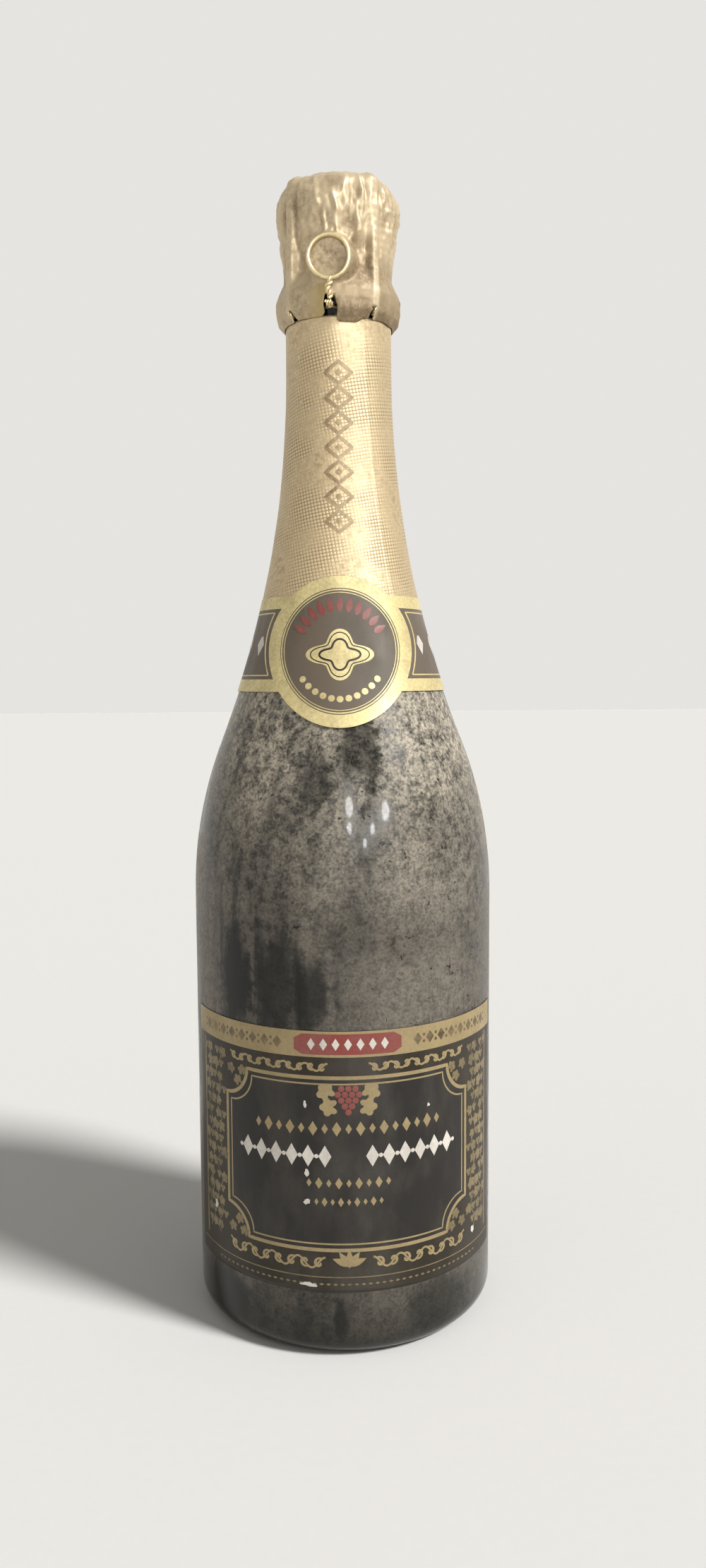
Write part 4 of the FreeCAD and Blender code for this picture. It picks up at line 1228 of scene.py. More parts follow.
class BOTTLE_OT_foil_cap(bpy.types.Operator):
    """Crumple a foil cap over cork and cage, torn where the wires come through"""
    bl_idname = "bottle.foil_cap"
    bl_label = "Foil cap"

    def execute(self, context):
        foils = settings("bottle_foils")
        cage = settings("bottle_cage")
        side = cap_line()
        rows = len(side) - 1
        ahead = [(side[min(j + 1, rows)] - side[max(j - 1, 0)]).normalized() for j in range(rows + 1)]
        outward = [Vector((way.y, -way.x)) for way in ahead]
        gone = [0.0]
        for a, b in zip(side, side[1:]):
            gone.append(gone[-1] + (b - a).length)
        leg_points = leg_line()
        over_leg = []
        for here, way, out in zip(side, ahead, outward):
            near = [p - here for p in leg_points if abs((p - here).dot(way)) < 0.6 * MM]
            over_leg.append(max([0.45 * MM] + [p.dot(out) + cage.strand + 0.1 * MM for p in near]))
        pleats = cap_pleats()
        turns = leg_turns()
        loop_middle = FOLD.z + cage.loop_rise
        loop_back = FOLD.to_2d().length - cage.loop_wire / 2 - 0.16 * MM
        hollow = {}
        rubbed = {}

        def crumpled(spot, degrees, loose):
            """Push outwards of folds and creases, calmer on the crown, and of fine ripples on the right."""
            stretched = Vector((spot.x, spot.y, spot.z * 0.42))
            fold = 0.35 - abs(noise.noise(stretched / FOLD_SIZE))
            crease = 0.3 - abs(noise.noise(stretched / CREASE_SIZE + Vector((7, 3, 1))))
            calm = 1 - 0.6 * smooth(spot.z, CALM_LOW, CALM_HIGH)
            push = foils.crumple_depth * calm * (fold * (0.6 + 1.6 * loose) + crease * (0.4 + 0.6 * loose))
            wave = math.sin(FULL_TURN * spot.z / RIPPLE_PITCH + 2.5 * noise.noise(spot / (6 * MM)))
            there = window(degrees, 40, 50, 85, 110) * (1 - smooth(spot.z, RIPPLE_LOW, RIPPLE_HIGH))
            return push + RIPPLE_HEIGHT * there * wave * loose

        def pleated(turn, r, z, bend):
            """Push outwards of the pleats."""
            push = 0.0
            for start, top, run, slant, height, wide in pleats:
                along = (top - z) / run
                if 0 < along < 1:
                    away = math.remainder(turn - start - slant * (top - z), FULL_TURN) * r + bend
                    shape = min(1, 3 * along) * math.sin(math.pi * along) ** 0.4
                    push += foils.pleat_height * height * shape * math.exp(-(away / wide) ** 2)
            return push

        def drawn_over_legs(push, lift, turn, r, z, bend, loose):
            """Push outwards where the foil lies over the legs, and 1 on the ridge over a leg's middle."""
            ridge = 0.0
            for leg in turns.values():
                away = math.remainder(turn - leg, FULL_TURN) * r
                if abs(away) > LEG_REACH or r < LEG_INNER:
                    continue
                rise = lift * smooth(r, LEG_INNER, LEG_OUTER) * smooth(z, FOOT_LOW, FOOT_HIGH)
                rise += 0.40 * MM * loose * max(0, noise.noise(Vector((leg * 9, 4, z / (3.2 * MM)))))
                rise += 0.05 * MM * loose * math.sin(FULL_TURN * z / (2.1 * MM) + 5 * leg)
                broad = (0.85 + 2.8 * smooth(z, TENT_LOW, TENT_HIGH)) * MM
                beside = max(0, abs(away + 0.3 * bend) - LEG_FLAT)
                tent = 1 / (1 + (beside / broad) ** 2) ** 1.2
                push = push * (1 - 0.8 * tent) + rise * tent
                ridge = max(ridge, 1 - beside / (0.5 * MM))
                if 0 < beside < LEG_FURROW:
                    push -= 0.30 * MM * loose * math.sin(math.pi * beside / LEG_FURROW)
            return push, ridge

        def bared(spot):
            """Where the foil is rubbed: left of the tear, under a slanting edge."""
            if spot.dot(CAGE_FRONT) <= 0:
                return 0.0
            right = spot.dot(CAGE_RIGHT)
            edge = PATCH_TOP + 0.15 * (right + 3 * MM)
            there = window(right, -8 * MM, -5.4 * MM, -1.6 * MM, -1.0 * MM)
            return there * (1 - smooth(spot.z, edge - 0.2 * MM, edge + 0.2 * MM))

        def pressed_by_loop(spot):
            """Foil moved back to the plane behind the pull loop."""
            forward = spot.dot(CAGE_FRONT)
            if forward > 0:
                away = math.hypot(spot.dot(CAGE_RIGHT), spot.z - loop_middle)
                pressed = 1 - smooth(away, cage.loop_radius + 0.1 * MM, cage.loop_radius + 2.2 * MM)
                dimple = 0.08 * MM * noise.noise(spot / (3.2 * MM))
                spot += CAGE_FRONT * ((loop_back + dimple - forward) * pressed)
            return spot

        def place(i, j):
            """Point of the foil. How much dirt and painted shade it gets there, and how rubbed it is, is
            noted beside it.
            """
            r, z = side[j]
            turn = FULL_TURN * i / CAP_COLUMNS
            degrees = math.degrees(math.remainder(turn, FULL_TURN))
            spot = around(r, turn, z)
            bend = 1.1 * MM * noise.noise(spot / (4 * MM))
            loose = smooth(z, TIGHT, LOOSE)
            push = crumpled(spot, degrees, loose) + pleated(turn, r, z, bend)
            push, ridge = drawn_over_legs(push, over_leg[j], turn, r, z, bend, loose)
            # Dirt and painted shade: an even share of dirt, deepened as painted shade where the foil is
            # pushed in, in crumples and creases
            dirt_and_shade = max(0, min(0.75, 0.28 - 0.9 * push / MM)) * (0.35 + 0.65 * loose)
            # The tight collar is darkened: dirt all round, and painted shade right of the tear
            collar_dirt_and_shade = 0.18 + 0.40 * smooth(degrees, -10, 4)
            # On the tight collar the ridges over the legs are kept clean, so they read bright: a painted
            # highlight
            dirt_and_shade = (dirt_and_shade + collar_dirt_and_shade * (1 - loose)) * (1 - ridge * (1 - loose))
            for middle, height, wide, tall, deep in DIMPLES:
                away = math.hypot((degrees - middle) * r * math.radians(1) / wide, (z - height) / tall)
                if away < 2.5:
                    push -= deep * math.exp(-away ** 2)
                    # The dent is also darkened as painted shade
                    dirt_and_shade = min(0.9, dirt_and_shade + 0.3 * math.exp(-away ** 2))
            bare = bared(spot)
            hollow[i, j] = dirt_and_shade
            rubbed[i, j] = bare * (0.25 + 0.5 * smooth(spot.dot(CAGE_RIGHT), -6 * MM, -2.4 * MM))
            push -= 0.35 * MM * bare
            spot = pressed_by_loop(spot + around(outward[j].x * push, turn, outward[j].y * push))
            low = 1 - smooth(j, 0, 9)
            hang = -1.2 * window(degrees, -5, 0, 20, 27)
            spot.z += low * MM * (hang + 0.35 * noise.noise(spot / (2.4 * MM)))
            return Vector((0, 0, spot.z)) if j == rows else spot

        def unwrap(i, j):
            return (FULL_TURN * i / CAP_COLUMNS * CAP_ARC, gone[j])

        def torn(point):
            """Whether the foil is torn away: round the twisted wire and at the feet of the front legs."""
            jag = 0.6 * MM * noise.noise(point / (1.1 * MM))
            across = abs(point.dot(CAGE_RIGHT))
            if point.dot(CAGE_FRONT) > 0 and across < foils.tear_width / 2 + jag:
                if point.z < foils.tear_top + jag:
                    return True
            turn = math.atan2(point.x, -point.y)
            for leg, shift, top in NOTCHES:
                away = math.remainder(turn - turns[leg], FULL_TURN) * point.to_2d().length - shift
                if point.z < top + jag and abs(away) < NOTCH_HALF + 0.2 * jag:
                    return True
            return False

        made = sheet("foil_cap_crumpled", CAP_COLUMNS, rows, place, unwrap, foils.thickness,
                     finish("Crumpled gold foil"), closed=True, hole=torn,
                     marks={"hollow": hollow, "rubbed": rubbed})
        dress(made, "foil", "cap_foil", ("foil_cap",))
        return {"FINISHED"}


FOIL_GAP = 0.20 * MM  # outside of the neck foil above the glass
FOIL_COLUMNS, FOIL_ROWS = 270, 140
SEAM_LOW, SEAM_RISE = 207 * MM, 67 * MM  # the lap seam turns by 12 degrees over its rise
CREASE_TURN = math.radians(-50)  # upright crease on the left
CHAIN_LOW, CHAIN_HIGH = 223.5 * MM, 271 * MM
CHAIN_LINKS = 7
CHAIN_HALF = 3.7 * MM  # half width of a link
CHAIN_LINE = 1.05 * MM
CHAIN_DOT = 1.1 * MM  # half width of the diamond in a link
STAMP_LIFT, FLECK_LIFT = 0.03 * MM, 0.05 * MM

# White flecks on the neck foil: arc from the front, height, half width
FLECKS = (
    (-0.0120, 0.2728, 0.0006),
    (-0.0138, 0.2690, 0.0005),
    (-0.0112, 0.2605, 0.0005),
    (-0.0085, 0.2583, 0.0006),
    (-0.0048, 0.2618, 0.0005),
    (-0.0100, 0.2440, 0.0004),
)


class BOTTLE_OT_neck_foil(bpy.types.Operator):
    """Wrap the embossed foil round the neck, with its overlap, dents and stamped chain"""
    bl_idname = "bottle.neck_foil"
    bl_label = "Neck foil"

    def execute(self, context):
        foils = settings("bottle_foils")
        line = wall_line()
        low, high = NECK_FOIL_LOW.z, NECK_FOIL_HIGH.z

        def radius(turn, z):
            """Outside of the foil, with its lap seam, a crease on the left and shallow dents."""
            r = line(z, FOIL_GAP)
            seam = math.radians(41 - 12 * (z - SEAM_LOW) / SEAM_RISE)
            away = math.remainder(turn - seam, FULL_TURN) * r
            lap = 0.16 * MM * math.exp(-(away / (0.5 * MM)) ** 2)
            lap += 0.07 * MM * window(away, 0, 0.6 * MM, 4 * MM, 16 * MM)
            away = math.remainder(turn - CREASE_TURN, FULL_TURN) * r
            lap += 0.12 * MM * math.exp(-(away / (0.6 * MM)) ** 2)
            dent = 0.10 * MM * noise.noise(around(r, turn, z * 0.6) / (7 * MM))
            return r + lap + max(dent, -0.1 * MM)

        def where(i, j):
            return -math.pi + FULL_TURN * i / FOIL_COLUMNS, low + (high - low) * j / FOIL_ROWS

        def place(i, j):
            turn, z = where(i, j)
            return around(radius(turn, z), turn, z)

        def unwrap(i, j):
            turn, z = where(i, j)
            return (turn * line(z), z)

        def wrap(u, v, lift):
            turn = u / line(v)
            return around(radius(turn, v) + lift, turn, v)

        def lozenge(middle, half_width, half_height):
            return [(half_width, middle), (0, middle + half_height),
                    (-half_width, middle), (0, middle - half_height)]

        made = sheet("neck_foil_embossed", FOIL_COLUMNS, FOIL_ROWS, place, unwrap, foils.thickness,
                     finish("Embossed gold foil"), closed=True)
        dress(made, "bottle", "neck_foil", ("neck_foil",))
        stamp = Print(STAMP_LIFT)
        step = (CHAIN_HIGH - CHAIN_LOW) / CHAIN_LINKS
        for k in range(CHAIN_LINKS):
            middle = CHAIN_LOW + step * (k + 0.5)
            corners = lozenge(middle, CHAIN_HALF, 0.44 * step)
            path = []
            for a, b in zip(corners, corners[1:] + corners[:1]):
                path += straight(a, b, 0.8 * MM)[:-1]
            stamp.ribbon(wrap, path, CHAIN_LINE, closed=True)
            stamp.patch(wrap, (0, middle), lozenge(middle, CHAIN_DOT, CHAIN_DOT))
        stamp.lay("neck_foil_stamp", "Worn brown stamping", "neck_foil")
        flecks = Print(FLECK_LIFT)
        random.seed(5)
        for u, v, size in FLECKS:
            flecks.patch(wrap, (u, v), blot(u, v, size, size * 0.8), 1)
        flecks.lay("neck_foil_flecks", "Ivory ink", "neck_foil")
        return {"FINISHED"}


# Layers of print, as shares of the ink's height, so that each lies clear of the one below
PANEL, STRIP, GILT, MOTIF, FIELD, LINE, WEAR = 0.5, 0.7, 1.0, 1.3, 1.6, 1.8, 2.2


def layer(share):
    """Height of a layer of print above the paper."""
    return settings("bottle_labels").ink * share


# Print of the neck label
NECK_COLUMNS, NECK_ROWS = 300, 36
NECK_LINE = 0.35 * MM  # width of the thin gilt lines
NECK_LINE_INSET = 4.5 * MM  # those on the bands, from the bands' edges
STRIP_WIDTH = 3.4 * MM  # gilt strips along the bands' edges
QUATREFOIL_DROP = 1 * MM  # its middle below that of the round front
QUATREFOIL = (9.3 * MM, 7.0 * MM)  # half width, half height


class BOTTLE_OT_neck_label(bpy.types.Operator):
    """Wrap the neck label, with its gilt ring, bands and ornament"""
    bl_idname = "bottle.neck_label"
    bl_label = "Neck label"

    def execute(self, context):
        sizes = settings("bottle_labels")
        line = wall_line()
        middle, half_width, half_height = sizes.medal_height, sizes.medal_half_width, sizes.medal_half_height
        lower, upper, spread = sizes.band_low, sizes.band_high, sizes.band_spread

        def outside(z):
            return line(z, sizes.neck_offset)

        def edge(turn, up):
            """Height of the label's upper or lower edge at an angle, the round front's or the band's."""
            plain = upper if up else lower
            if abs(turn) > math.pi / 2:
                return plain
            z = plain
            for attempt in range(12):
                across = min(abs(outside(z) * math.sin(turn)) / half_width, 1)
                rise = half_height * math.sqrt(1 - across ** 2)
                z = middle + rise if up else middle - rise
            return max(z, plain) if up else min(z, plain)

        turns = [-spread + 2 * spread * i / NECK_COLUMNS for i in range(NECK_COLUMNS + 1)]
        edges = [(edge(t, False), edge(t, True)) for t in turns]

        def height(i, j):
            return edges[i][0] + (edges[i][1] - edges[i][0]) * j / NECK_ROWS

        def place(i, j):
            z = height(i, j)
            return around(outside(z), turns[i], z)

        def unwrap(i, j):
            z = height(i, j)
            return (turns[i] * line(z), z)

        def front(x, z, lift):
            """Point above the label at a place as seen from the front."""
            r = outside(z)
            return around(r + lift, math.asin(max(-1, min(1, x / r))), z)

        def band(u, z, lift):
            """Point above the label at an arc, measured at the round front's half width."""
            return around(outside(z) + lift, u / half_width, z)

        def ellipse(share, start=0, end=360):
            """Line that follows the round front's edge at a share of its size."""
            points = oval((0, middle), half_width * share, half_height * share, start, end)
            return points[:-1] if end - start == 360 else points

        def marks(share, start, end, count):
            """Places of motifs along such a line, pointing outwards."""
            found = []
            for k in range(count):
                a = math.radians(start + (end - start) * k / (count - 1))
                x, z = half_width * share * math.cos(a), middle + half_height * share * math.sin(a)
                slope = (line(z + MM) - line(z - MM)) / (2 * MM)
                facing = around(1, math.asin(x / outside(z)), -slope).normalized()
                found.append((front(x, z, 0), facing, a - math.pi / 2, 1.0))
            return found

        made = sheet("neck_label_paper", NECK_COLUMNS, NECK_ROWS, place, unwrap, sizes.paper,
                     finish("Dusty label paper"))
        dress(made, "bottle", NECK_SLOT, ("neck_label",))

        gold = Print(layer(GILT))
        gold.ribbon(front, ellipse(0.915), 0.165 * half_height, closed=True)
        for share, wide in ((0.81, NECK_LINE), (0.775, 0.2 * MM)):
            gold.ribbon(front, ellipse(share), wide, closed=True)
        # Lines and strips start at the round front: their arcs are shares of its half width
        for way in (-1, 1):
            end = way * half_width * 2.55
            for z, start in ((upper - NECK_LINE_INSET, 0.862), (lower + NECK_LINE_INSET, 0.764)):
                gold.ribbon(band, straight((way * half_width * start, z), (end, z)), NECK_LINE)
            gold.ribbon(front, [(way * x, z) for x, z in ellipse(1.055, -17.4, 29.8)], NECK_LINE)
        heart = middle - QUATREFOIL_DROP
        quatrefoil = []
        for k in range(72):
            a = FULL_TURN * k / 72
            reach = 0.80 + 0.20 * math.cos(4 * a)
            quatrefoil.append((QUATREFOIL[0] * reach * math.cos(a),
                               heart + QUATREFOIL[1] * reach * math.sin(a)))
        gold.patch(front, (0, heart), quatrefoil, rings=7)
        gold.lay("neck_label_gilt", "Gold ink", NECK_SLOT)

        strips = Print(layer(STRIP))
        for z, start in ((upper - STRIP_WIDTH / 2, 0.572), (lower + STRIP_WIDTH / 2, 0.557)):
            for way in (-1, 1):
                end = way * half_width * (spread - 0.01)
                strips.ribbon(band, straight((way * half_width * start, z), (end, z)), STRIP_WIDTH)
        strips.lay("neck_label_strips", "Gold ink", NECK_SLOT)
        dark = Print(layer(LINE))
        for share, wide in ((0.86, 0.3 * MM), (0.60, 0.55 * MM)):
            path = [(u * share, (v - middle + QUATREFOIL_DROP) * share + heart) for u, v in quatrefoil]
            dark.ribbon(front, path, wide, closed=True)
        dark.lay("neck_label_lines", "Varnished label paper", NECK_SLOT)

        lift = layer(MOTIF)
        motifs("neck_label_red_leaves", laurel_leaf(4.6 * MM, 1.9 * MM, lift), marks(0.62, 152, 28, 11),
               "Red ink", NECK_SLOT)
        motifs("neck_label_beads", bead(0.95 * MM, lift), marks(0.63, 216, 324, 11), "Gold ink", NECK_SLOT)
        points = []
        for way in (-1, 1):
            for k in range(5):
                turn = way * (1.02 + 0.36 * k)
                z = middle + 2.1 * MM
                points.append((around(outside(z), turn, z), around(1, turn, 0.3).normalized(), 0.0, 1.0))
        motifs("neck_label_ivory", diamond(3.6 * MM, 6.4 * MM, lift), points, "Ivory ink", NECK_SLOT)
        return {"FINISHED"}


# Print of the body label: arcs are from its middle and heights from the table
LABEL_COLUMNS, LABEL_ROWS = 180, 72
BAND_DROP = 3.6 * MM  # middle of the gilt band below the label's upper edge
BAND_WIDTH = 7.0 * MM
BAND_INSET = 0.3 * MM  # its ends from the label's
PANEL_LOW, PANEL_HIGH = 31.0 * MM, 78.5 * MM
PANEL_HALF = 37.5 * MM
PANEL_SCOOP = 8 * MM  # radius of its hollow corners
FRAME_LINES = ((0, 1.0 * MM), (1.7 * MM, 0.45 * MM))  # inset and width
FIELD_HALF = 14.6 * MM  # half length of the red field on the band
FIELD_WIDTH = 5.6 * MM
CHAIN_HEIGHT = 57 * MM  # row of large pale diamonds
BUNCH_TOP = 75.6 * MM
BUNCH_ROWS = (3, 4, 3, 2, 1)
GRAPE_PITCH, GRAPE_DROP = 1.9 * MM, 1.6 * MM
FAN_HEIGHT = 27.2 * MM  # five leaves under the panel
SIDE_BAR = 50 * MM  # upright bars at the label's sides
SIDE_BAR_LOW, SIDE_BAR_HIGH = 25.4 * MM, 83.2 * MM
FOOT_LINE = 23.4 * MM
FOOT_ROW = 21.4 * MM

# Waving stems above and below the panel: start, end, height, swing, size of their volutes
RINCEAUX = (
    (5.5 * MM, 36 * MM, 81.4 * MM, 1.0 * MM, 1.15 * MM),
    (6.5 * MM, 37 * MM, 27.4 * MM, 1.5 * MM, 1.5 * MM),
)

# Rows of lozenges on the panel: height, count, pitch, size
LOZENGE_ROWS = (
    (64.6 * MM, 17, 3.2 * MM, 1.0),
    (49.6 * MM, 9, 2.7 * MM, 0.8),
    (44.4 * MM, 9, 2.2 * MM, 0.65),
)

# Leaves beside the bunch: arc and height in millimetres, turn
EMBLEM_LEAVES = ((6.1, 74.6, 0.7), (5.2, 70.6, 1.6))

# Leaves in the panel's corners: arc and height in millimetres
CORNER_LEAVES = ((33.0, 74.6), (35.8, 77.4), (33.0, 35.0), (35.8, 32.2), (31.3, 77.6), (31.3, 32.0))

# Vines up each side: arc in millimetres, phase of their waves
VINES = ((41.8, 0.0), (46.6, 1.9))

# Chips in the print down to bare paper: arc, height, half width, half height
CHIPS = (
    (-0.0113, 0.0211, 0.0036, 0.0006),
    (-0.0440, 0.0357, 0.0012, 0.0016),
    (-0.0115, 0.0442, 0.0010, 0.0009),
    (-0.0115, 0.0520, 0.0007, 0.0013),
    (-0.0118, 0.0710, 0.0005, 0.0010),
    (0.0415, 0.0274, 0.0009, 0.0012),
    (0.0228, 0.0688, 0.0005, 0.0005),
)


def on_label(u, v, lift):
    """Point above the body label at an arc and a height."""
    sizes = settings("bottle_labels")
    return around(sizes.body_radius + lift, sizes.body_turn + u / sizes.body_radius, v)


def mark(u, v, turn=0.0, size=1.0):
    """Place of a motif on the body label."""
    sizes = settings("bottle_labels")
    return (on_label(u, v, 0), around(1, sizes.body_turn + u / sizes.body_radius, 0), turn, size)


def label_half():
    """Half the flat width of the body label."""
    sizes = settings("bottle_labels")
    return sizes.body_radius * sizes.body_spread


def label_paper():
    """Plain paper of the body label."""
    half = label_half()
    low, high = LABEL_LOW.z, LABEL_HIGH.z

    def unwrap(i, j):
        return (-half + 2 * half * i / LABEL_COLUMNS, low + (high - low) * j / LABEL_ROWS)

    def place(i, j):
        return on_label(*unwrap(i, j), 0)

    made = sheet("body_label_paper", LABEL_COLUMNS, LABEL_ROWS, place, unwrap,
                 settings("bottle_labels").paper, finish("Varnished label paper"))
    dress(made, "bottle", LABEL_SLOT, ("body_label",))


def scooped_panel(inset):
    """Outline of the panel with its hollow corners, drawn in by inset."""
    left, right = -PANEL_HALF + inset, PANEL_HALF - inset
    bottom, top = PANEL_LOW + inset, PANEL_HIGH - inset
    corners = ((left, bottom, 90), (right, bottom, 180), (right, top, 270), (left, top, 360))
    arcs = [oval((u, v), PANEL_SCOOP, PANEL_SCOOP, start, start - 90) for u, v, start in corners]
    path = []
    for arc, following in zip(arcs, arcs[1:] + arcs[:1]):
        path += straight(arc[-1], following[0]) + following[1:-1]
    return path


def volute(drawing, u, v, size, way, up):
    """Curl that rolls up from a stem, thick in its middle."""
    path = []
    for k in range(36):
        share = k / 35
        a = -0.6 + share * 5.6
        reach = size * (1 - 0.8 * share)
        path.append((u + way * reach * math.sin(a), v + up * (size - reach * math.cos(a))))
    widths = [0.3 * MM + 0.32 * size * math.sin(math.pi * (k + 3) / 41) for k in range(36)]
    drawing.ribbon(on_label, path, widths)


def rinceau(drawing, start, end, v, swing, size):
    """Waving stem with a volute in each bend."""
    count = round(abs(end - start) / (2.6 * size))
    step = (end - start) / count
    path = [(start + step * k / 10, v + swing * math.cos(math.pi * k / 10)) for k in range(count * 10 + 1)]
    drawing.ribbon(on_label, path, 0.55 * MM)
    for k in range(count):
        up = 1 if k % 2 else -1
        volute(drawing, start + step * (k + 0.45), v - up * swing * 0.9, size, math.copysign(1, step), up)


def print_ground(band):
    """Black panel, gilt band and frame, stems and a fan of leaves."""
    reach = label_half() - BAND_INSET
    panel = Print(layer(PANEL))
    panel.patch(on_label, (0, (PANEL_LOW + PANEL_HIGH) / 2), scooped_panel(0), rings=26)
    panel.lay("body_label_panel", "Varnished black panel")
    gold = Print(layer(GILT))
    gold.ribbon(on_label, straight((-reach, band), (reach, band)), BAND_WIDTH)
    for inset, wide in FRAME_LINES:
        gold.ribbon(on_label, scooped_panel(inset), wide, closed=True)
    for way in (-1, 1):
        for start, end, height, swing, size in RINCEAUX:
            rinceau(gold, way * start, way * end, height, swing, size)
    gold.lay("body_label_gilt", "Dusty gold ink")
    fan = []
    for turn in [0.6 * k for k in range(-2, 3)]:
        fan.append(mark(2.3 * MM * math.sin(turn), FAN_HEIGHT + 1.4 * MM * math.cos(turn), -turn))
    motifs("body_label_palmettes", laurel_leaf(5.2 * MM, 2.0 * MM, layer(MOTIF)), fan, "Dusty gold ink")


def print_band(band):
    """Red field with pale diamonds in the middle of the gilt band, brown diamonds and dots at its sides."""
    lift = layer(MOTIF)
    field = Print(layer(FIELD))
    path = straight((-FIELD_HALF, band), (FIELD_HALF, band), FIELD_HALF / 20)
    last = len(path) - 1
    field.ribbon(on_label, path, [
        FIELD_WIDTH * min(1, 0.55 + 0.15 * min(k, last - k)) for k in range(last + 1)])
    field.lay("body_label_red", "Red ink")
    motifs("body_label_red_diamonds", diamond(2.1 * MM, 3.3 * MM, layer(LINE)),
           [mark(3.3 * MM * k, band) for k in range(-3, 4)], "Ivory ink")
    sides = [way * (19.5 + 3.9 * k) * MM for way in (-1, 1) for k in range(8)]
    dots = []
    for u in sides:
        dots += [mark(u + math.copysign(1.95 * MM, u), band + up * 0.9 * MM) for up in (-1, 1)]
    motifs("body_label_band_diamonds", diamond(2.6 * MM, 3.4 * MM, lift),
           [mark(u, band) for u in sides], "Brown ink")
    motifs("body_label_band_dots", bead(0.45 * MM, lift), dots, "Brown ink")


def print_panel():
    """Rows of diamonds and lozenges on the panel, under a bunch of grapes with leaves."""
    lift = layer(MOTIF)
    places = [way * (6.4 + 4.6 * k) * MM for way in (-1, 1) for k in range(6)]
    motifs("body_label_chain", diamond(3.5 * MM, 6.0 * MM, lift),
           [mark(u, CHAIN_HEIGHT) for u in places], "Ivory ink")
    motifs("body_label_chain_dots", bead(0.6 * MM, lift),
           [mark(u + math.copysign(2.3 * MM, u), CHAIN_HEIGHT) for u in places],
           "Ivory ink")
    lozenges = []
    for v, count, step, size in LOZENGE_ROWS:
        for k in range(count):
            lozenges.append(mark((k - (count - 1) / 2) * step, v, 0, size if k % 2 else size * 0.7))
    motifs("body_label_lozenges", diamond(2.5 * MM, 4.0 * MM, lift), lozenges, "Dusty gold ink")
    bunch = []
    for row, count in enumerate(BUNCH_ROWS):
        v = BUNCH_TOP - GRAPE_DROP * row
        bunch += [mark((k - (count - 1) / 2) * GRAPE_PITCH, v) for k in range(count)]
    motifs("body_label_bunch", bead(0.88 * MM, lift), bunch, "Red ink")
    leaves = []
    for way in (-1, 1):
        leaves += [mark(way * u * MM, v * MM, -way * turn) for u, v, turn in EMBLEM_LEAVES]
    motifs("body_label_emblem_leaves", vine_leaf(2.6 * MM, lift), leaves, "Dusty gold ink")


def print_border():
    """Vines with leaves and grapes up both sides, bars beside them, and the line and row at the foot."""
    lift = layer(MOTIF)
    random.seed(7)
    leaves = []
    grapes = []
    stems = Print(layer(GILT))
    for way in (-1, 1):
        for middle, phase in VINES:
            path = [(way * (middle + 1.3 * math.sin(k * 0.42 + phase)) * MM, (28 + 54 * k / 90) * MM)
                    for k in range(91)]
            stems.ribbon(on_label, path, 0.32 * MM)
            for k in range(4, 90, 6):
                u, v = path[k]
                lean = 1 if k % 12 < 6 else -1
                leaves.append(mark(
                    u + lean * 1.3 * MM, v, random.uniform(-1.2, 1.2), random.uniform(0.8, 1.1)))
                for across, up in ((-0.6, 0.6), (0.6, 0.6), (0, -0.35)):
                    grapes.append(mark(u - lean * 1.5 * MM + across * MM, v + up * MM, 0, 0.6))
        for u, v in CORNER_LEAVES:
            leaves.append(mark(way * u * MM, v * MM, random.uniform(-0.8, 0.8), 0.95))
    for way in (-1, 1):
        bar = way * SIDE_BAR
        stems.ribbon(on_label, straight((bar, SIDE_BAR_LOW), (bar, SIDE_BAR_HIGH)), 0.9 * MM)
    end = label_half() - 2 * MM
    stems.ribbon(on_label, straight((-end, FOOT_LINE), (end, FOOT_LINE)), 0.3 * MM)
    stems.lay("body_label_tendrils", "Dull gold ink")
    motifs("body_label_leaves", vine_leaf(1.75 * MM, lift), leaves, "Dull gold ink")
    motifs("body_label_grapes", bead(1.0 * MM, lift), grapes, "Dull gold ink")
    motifs("body_label_foot_row", diamond(1.3 * MM, 0.7 * MM, lift),
           [mark(1.9 * MM * k, FOOT_ROW) for k in range(-22, 23)], "Dull gold ink")


class BOTTLE_OT_body_label(bpy.types.Operator):
    """Wrap the body label, with its bands, panel, vine and wear"""
    bl_idname = "bottle.body_label"
    bl_label = "Body label"

    def execute(self, context):
        band = LABEL_HIGH.z - BAND_DROP
        label_paper()
        print_ground(band)
        print_band(band)
        print_panel()
        print_border()
        wear = Print(layer(WEAR))
        for u, v, wide, tall in CHIPS:
            wear.patch(on_label, (u, v), blot(u, v, wide, tall))
        wear.lay("body_label_wear", "Ivory ink")
        return {"FINISHED"}


# Broad soft lights: name, where from, spread in degrees, strength
SUNS = (
    ("key", (1.08, -0.62, 1.1), 12, 3.3),
    ("fill", (-1.0, -0.7, 0.5), 60, 0.15),
)

# Small ceiling lamps that show as glints on the shoulder: degrees to the right, degrees up, width
LAMPS = (
    (6.0, 20.4, 0.17),
    (36.0, 17.7, 0.17),
    (5.6, 14.1, 0.10),
    (24.4, 13.1, 0.10),
    (17.7, 9.1, 0.08),
)
LAMP_GLOW = 200.0  # watts for a lamp one metre wide
LAMP_AWAY = 1.6  # from the shoulder
SHOULDER_HEIGHT = 0.15  # where those lamps point
FLOOR_REACH = 6.0
SKY_LIGHT, SKY_SEEN = 0.27, 0.9  # how strongly the world lights, and how bright it is to look at

# Camera of the photograph: a slight view from above
CAMERA_PLACE = (0.0035, -0.3473, 0.1844)
CAMERA_TILT, CAMERA_ROLL = math.radians(90 - 5.205), math.radians(0.39)
PHOTO_HEIGHT, PHOTO_FOCAL = 2222, 1670  # pixels
SENSOR = 36  # millimetres


def lamp(name, kind, place, target, **looks):
    """Lamp at a place, turned to a target."""
    light = bpy.data.lights.new(name, kind)
    for label, value in looks.items():
        setattr(light, label, value)
    made = linked(name, light)
    made.location = place
    made.rotation_euler = (made.location - target).to_track_quat("Z", "Y").to_euler()
    return made


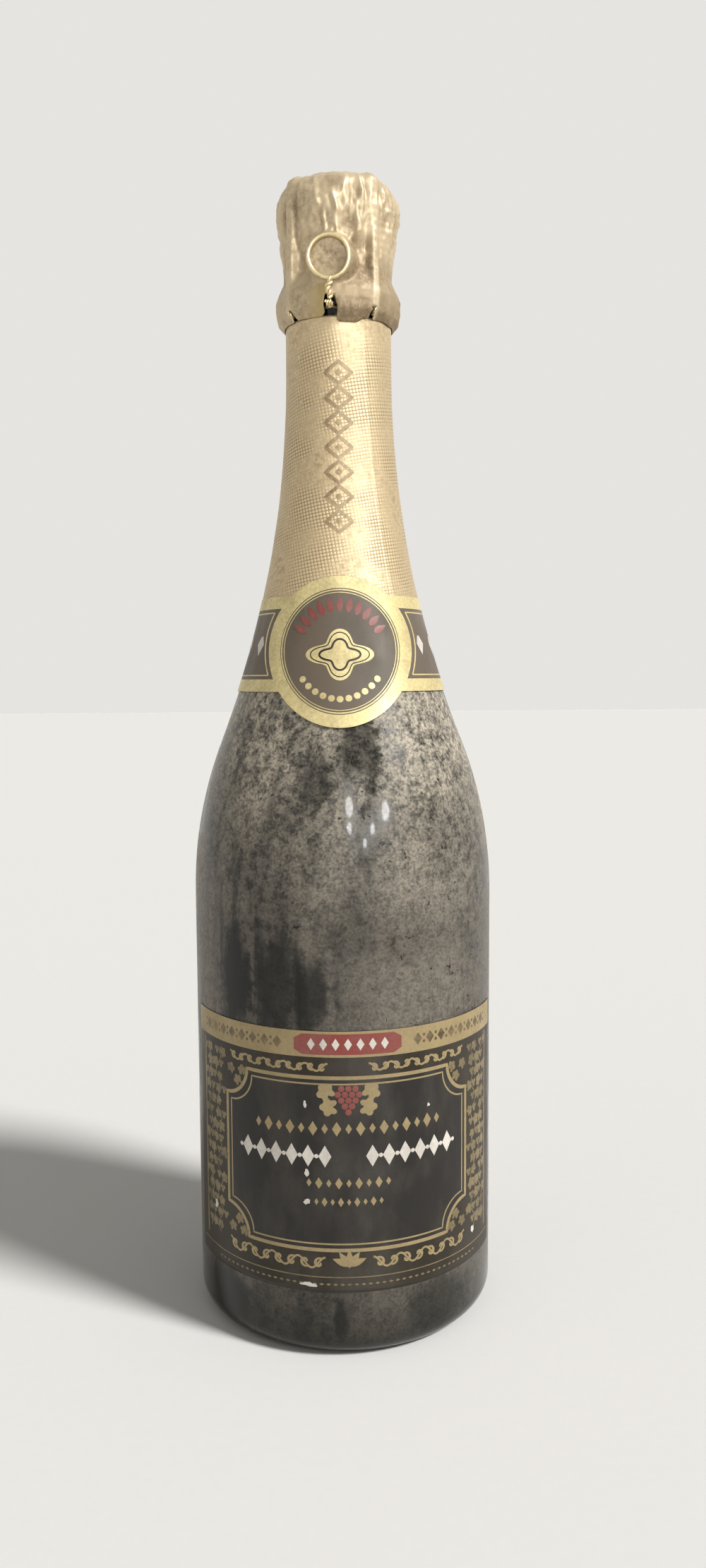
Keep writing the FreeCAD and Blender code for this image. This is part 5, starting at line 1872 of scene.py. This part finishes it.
class BOTTLE_OT_stage(bpy.types.Operator):
    """Set up floor, light, world and camera"""
    bl_idname = "bottle.stage"
    bl_label = "Stage"

    def execute(self, context):
        scene = context.scene
        scene.view_settings.view_transform = "Standard"
        corners = [(x * FLOOR_REACH, y * FLOOR_REACH, 0) for x, y in ((-1, -1), (1, -1), (1, 1), (-1, 1))]
        floor = mesh_object("studio_floor", corners, [(0, 1, 2, 3)], finish("Pale paper floor"))

        world = bpy.data.worlds.new("Studio")
        scene.world = world
        world.use_nodes = True
        tree = world.node_tree
        tree.nodes.clear()
        ray = add(tree, "LightPath").outputs
        seen = add(tree, "Math", {0: ray["Is Camera Ray"], 1: ray["Is Transmission Ray"]},
                   operation="MAXIMUM")
        shown = add(tree, "Math", {0: seen, 1: ray["Is Glossy Ray"]}, operation="MAXIMUM")
        level = add(tree, "MapRange", {"Value": shown, 3: SKY_LIGHT, 4: SKY_SEEN})
        sky = add(tree, "Background", {"Color": paint("floor"), "Strength": level})
        add(tree, "OutputWorld", {"Surface": sky})

        for name, place, spread, strength in SUNS:
            lamp(name, "SUN", place, Vector(), angle=math.radians(spread), energy=strength)
        for number, (turn, rise, width) in enumerate(LAMPS):
            flat = LAMP_AWAY * math.cos(math.radians(rise))
            height = SHOULDER_HEIGHT + LAMP_AWAY * math.sin(math.radians(rise))
            made = lamp(f"ceiling_{number}", "AREA", around(flat, math.radians(turn), height),
                        Vector((0, 0, SHOULDER_HEIGHT)), shape="DISK", size=width,
                        energy=LAMP_GLOW * width * width)
            made.visible_diffuse = False

        camera = linked("photo_camera", bpy.data.cameras.new("photo_camera"))
        camera.location = CAMERA_PLACE
        camera.rotation_euler = (CAMERA_TILT, CAMERA_ROLL, 0)
        camera.data.sensor_width = SENSOR
        camera.data.lens = SENSOR * PHOTO_FOCAL / PHOTO_HEIGHT
        camera.data.clip_start = 0.01
        scene.camera = camera
        return {"FINISHED"}


class BOTTLE_PT_build(bpy.types.Panel):
    """Sizes, finishes and the steps that build the bottle"""
    bl_label = "Champagne bottle"
    bl_space_type = "VIEW_3D"
    bl_region_type = "UI"
    bl_category = "Bottle"

    def draw(self, context):
        for step in STEPS:
            self.layout.operator(step.bl_idname)
        for name, group in SETTINGS.items():
            box = self.layout.box()
            box.label(text=group.__doc__)
            for field in group.__annotations__:
                box.prop(getattr(context.scene, name), field)


STEPS = (
    BOTTLE_OT_glass,
    BOTTLE_OT_contents,
    BOTTLE_OT_cage,
    BOTTLE_OT_loop,
    BOTTLE_OT_foil_cap,
    BOTTLE_OT_neck_foil,
    BOTTLE_OT_neck_label,
    BOTTLE_OT_body_label,
    BOTTLE_OT_stage,
)


def register():
    for name, group in SETTINGS.items():
        bpy.utils.register_class(group)
        setattr(bpy.types.Scene, name, bpy.props.PointerProperty(type=group))
    for item in STEPS + (BOTTLE_PT_build,):
        bpy.utils.register_class(item)


def unregister():
    for item in reversed(STEPS + (BOTTLE_PT_build,)):
        bpy.utils.unregister_class(item)
    for name, group in SETTINGS.items():
        delattr(bpy.types.Scene, name)
        bpy.utils.unregister_class(group)


def main():
    register()
    for step in STEPS:
        group, name = step.bl_idname.split(".")
        getattr(getattr(bpy.ops, group), name)()


if __name__ == "__main__":
    main()
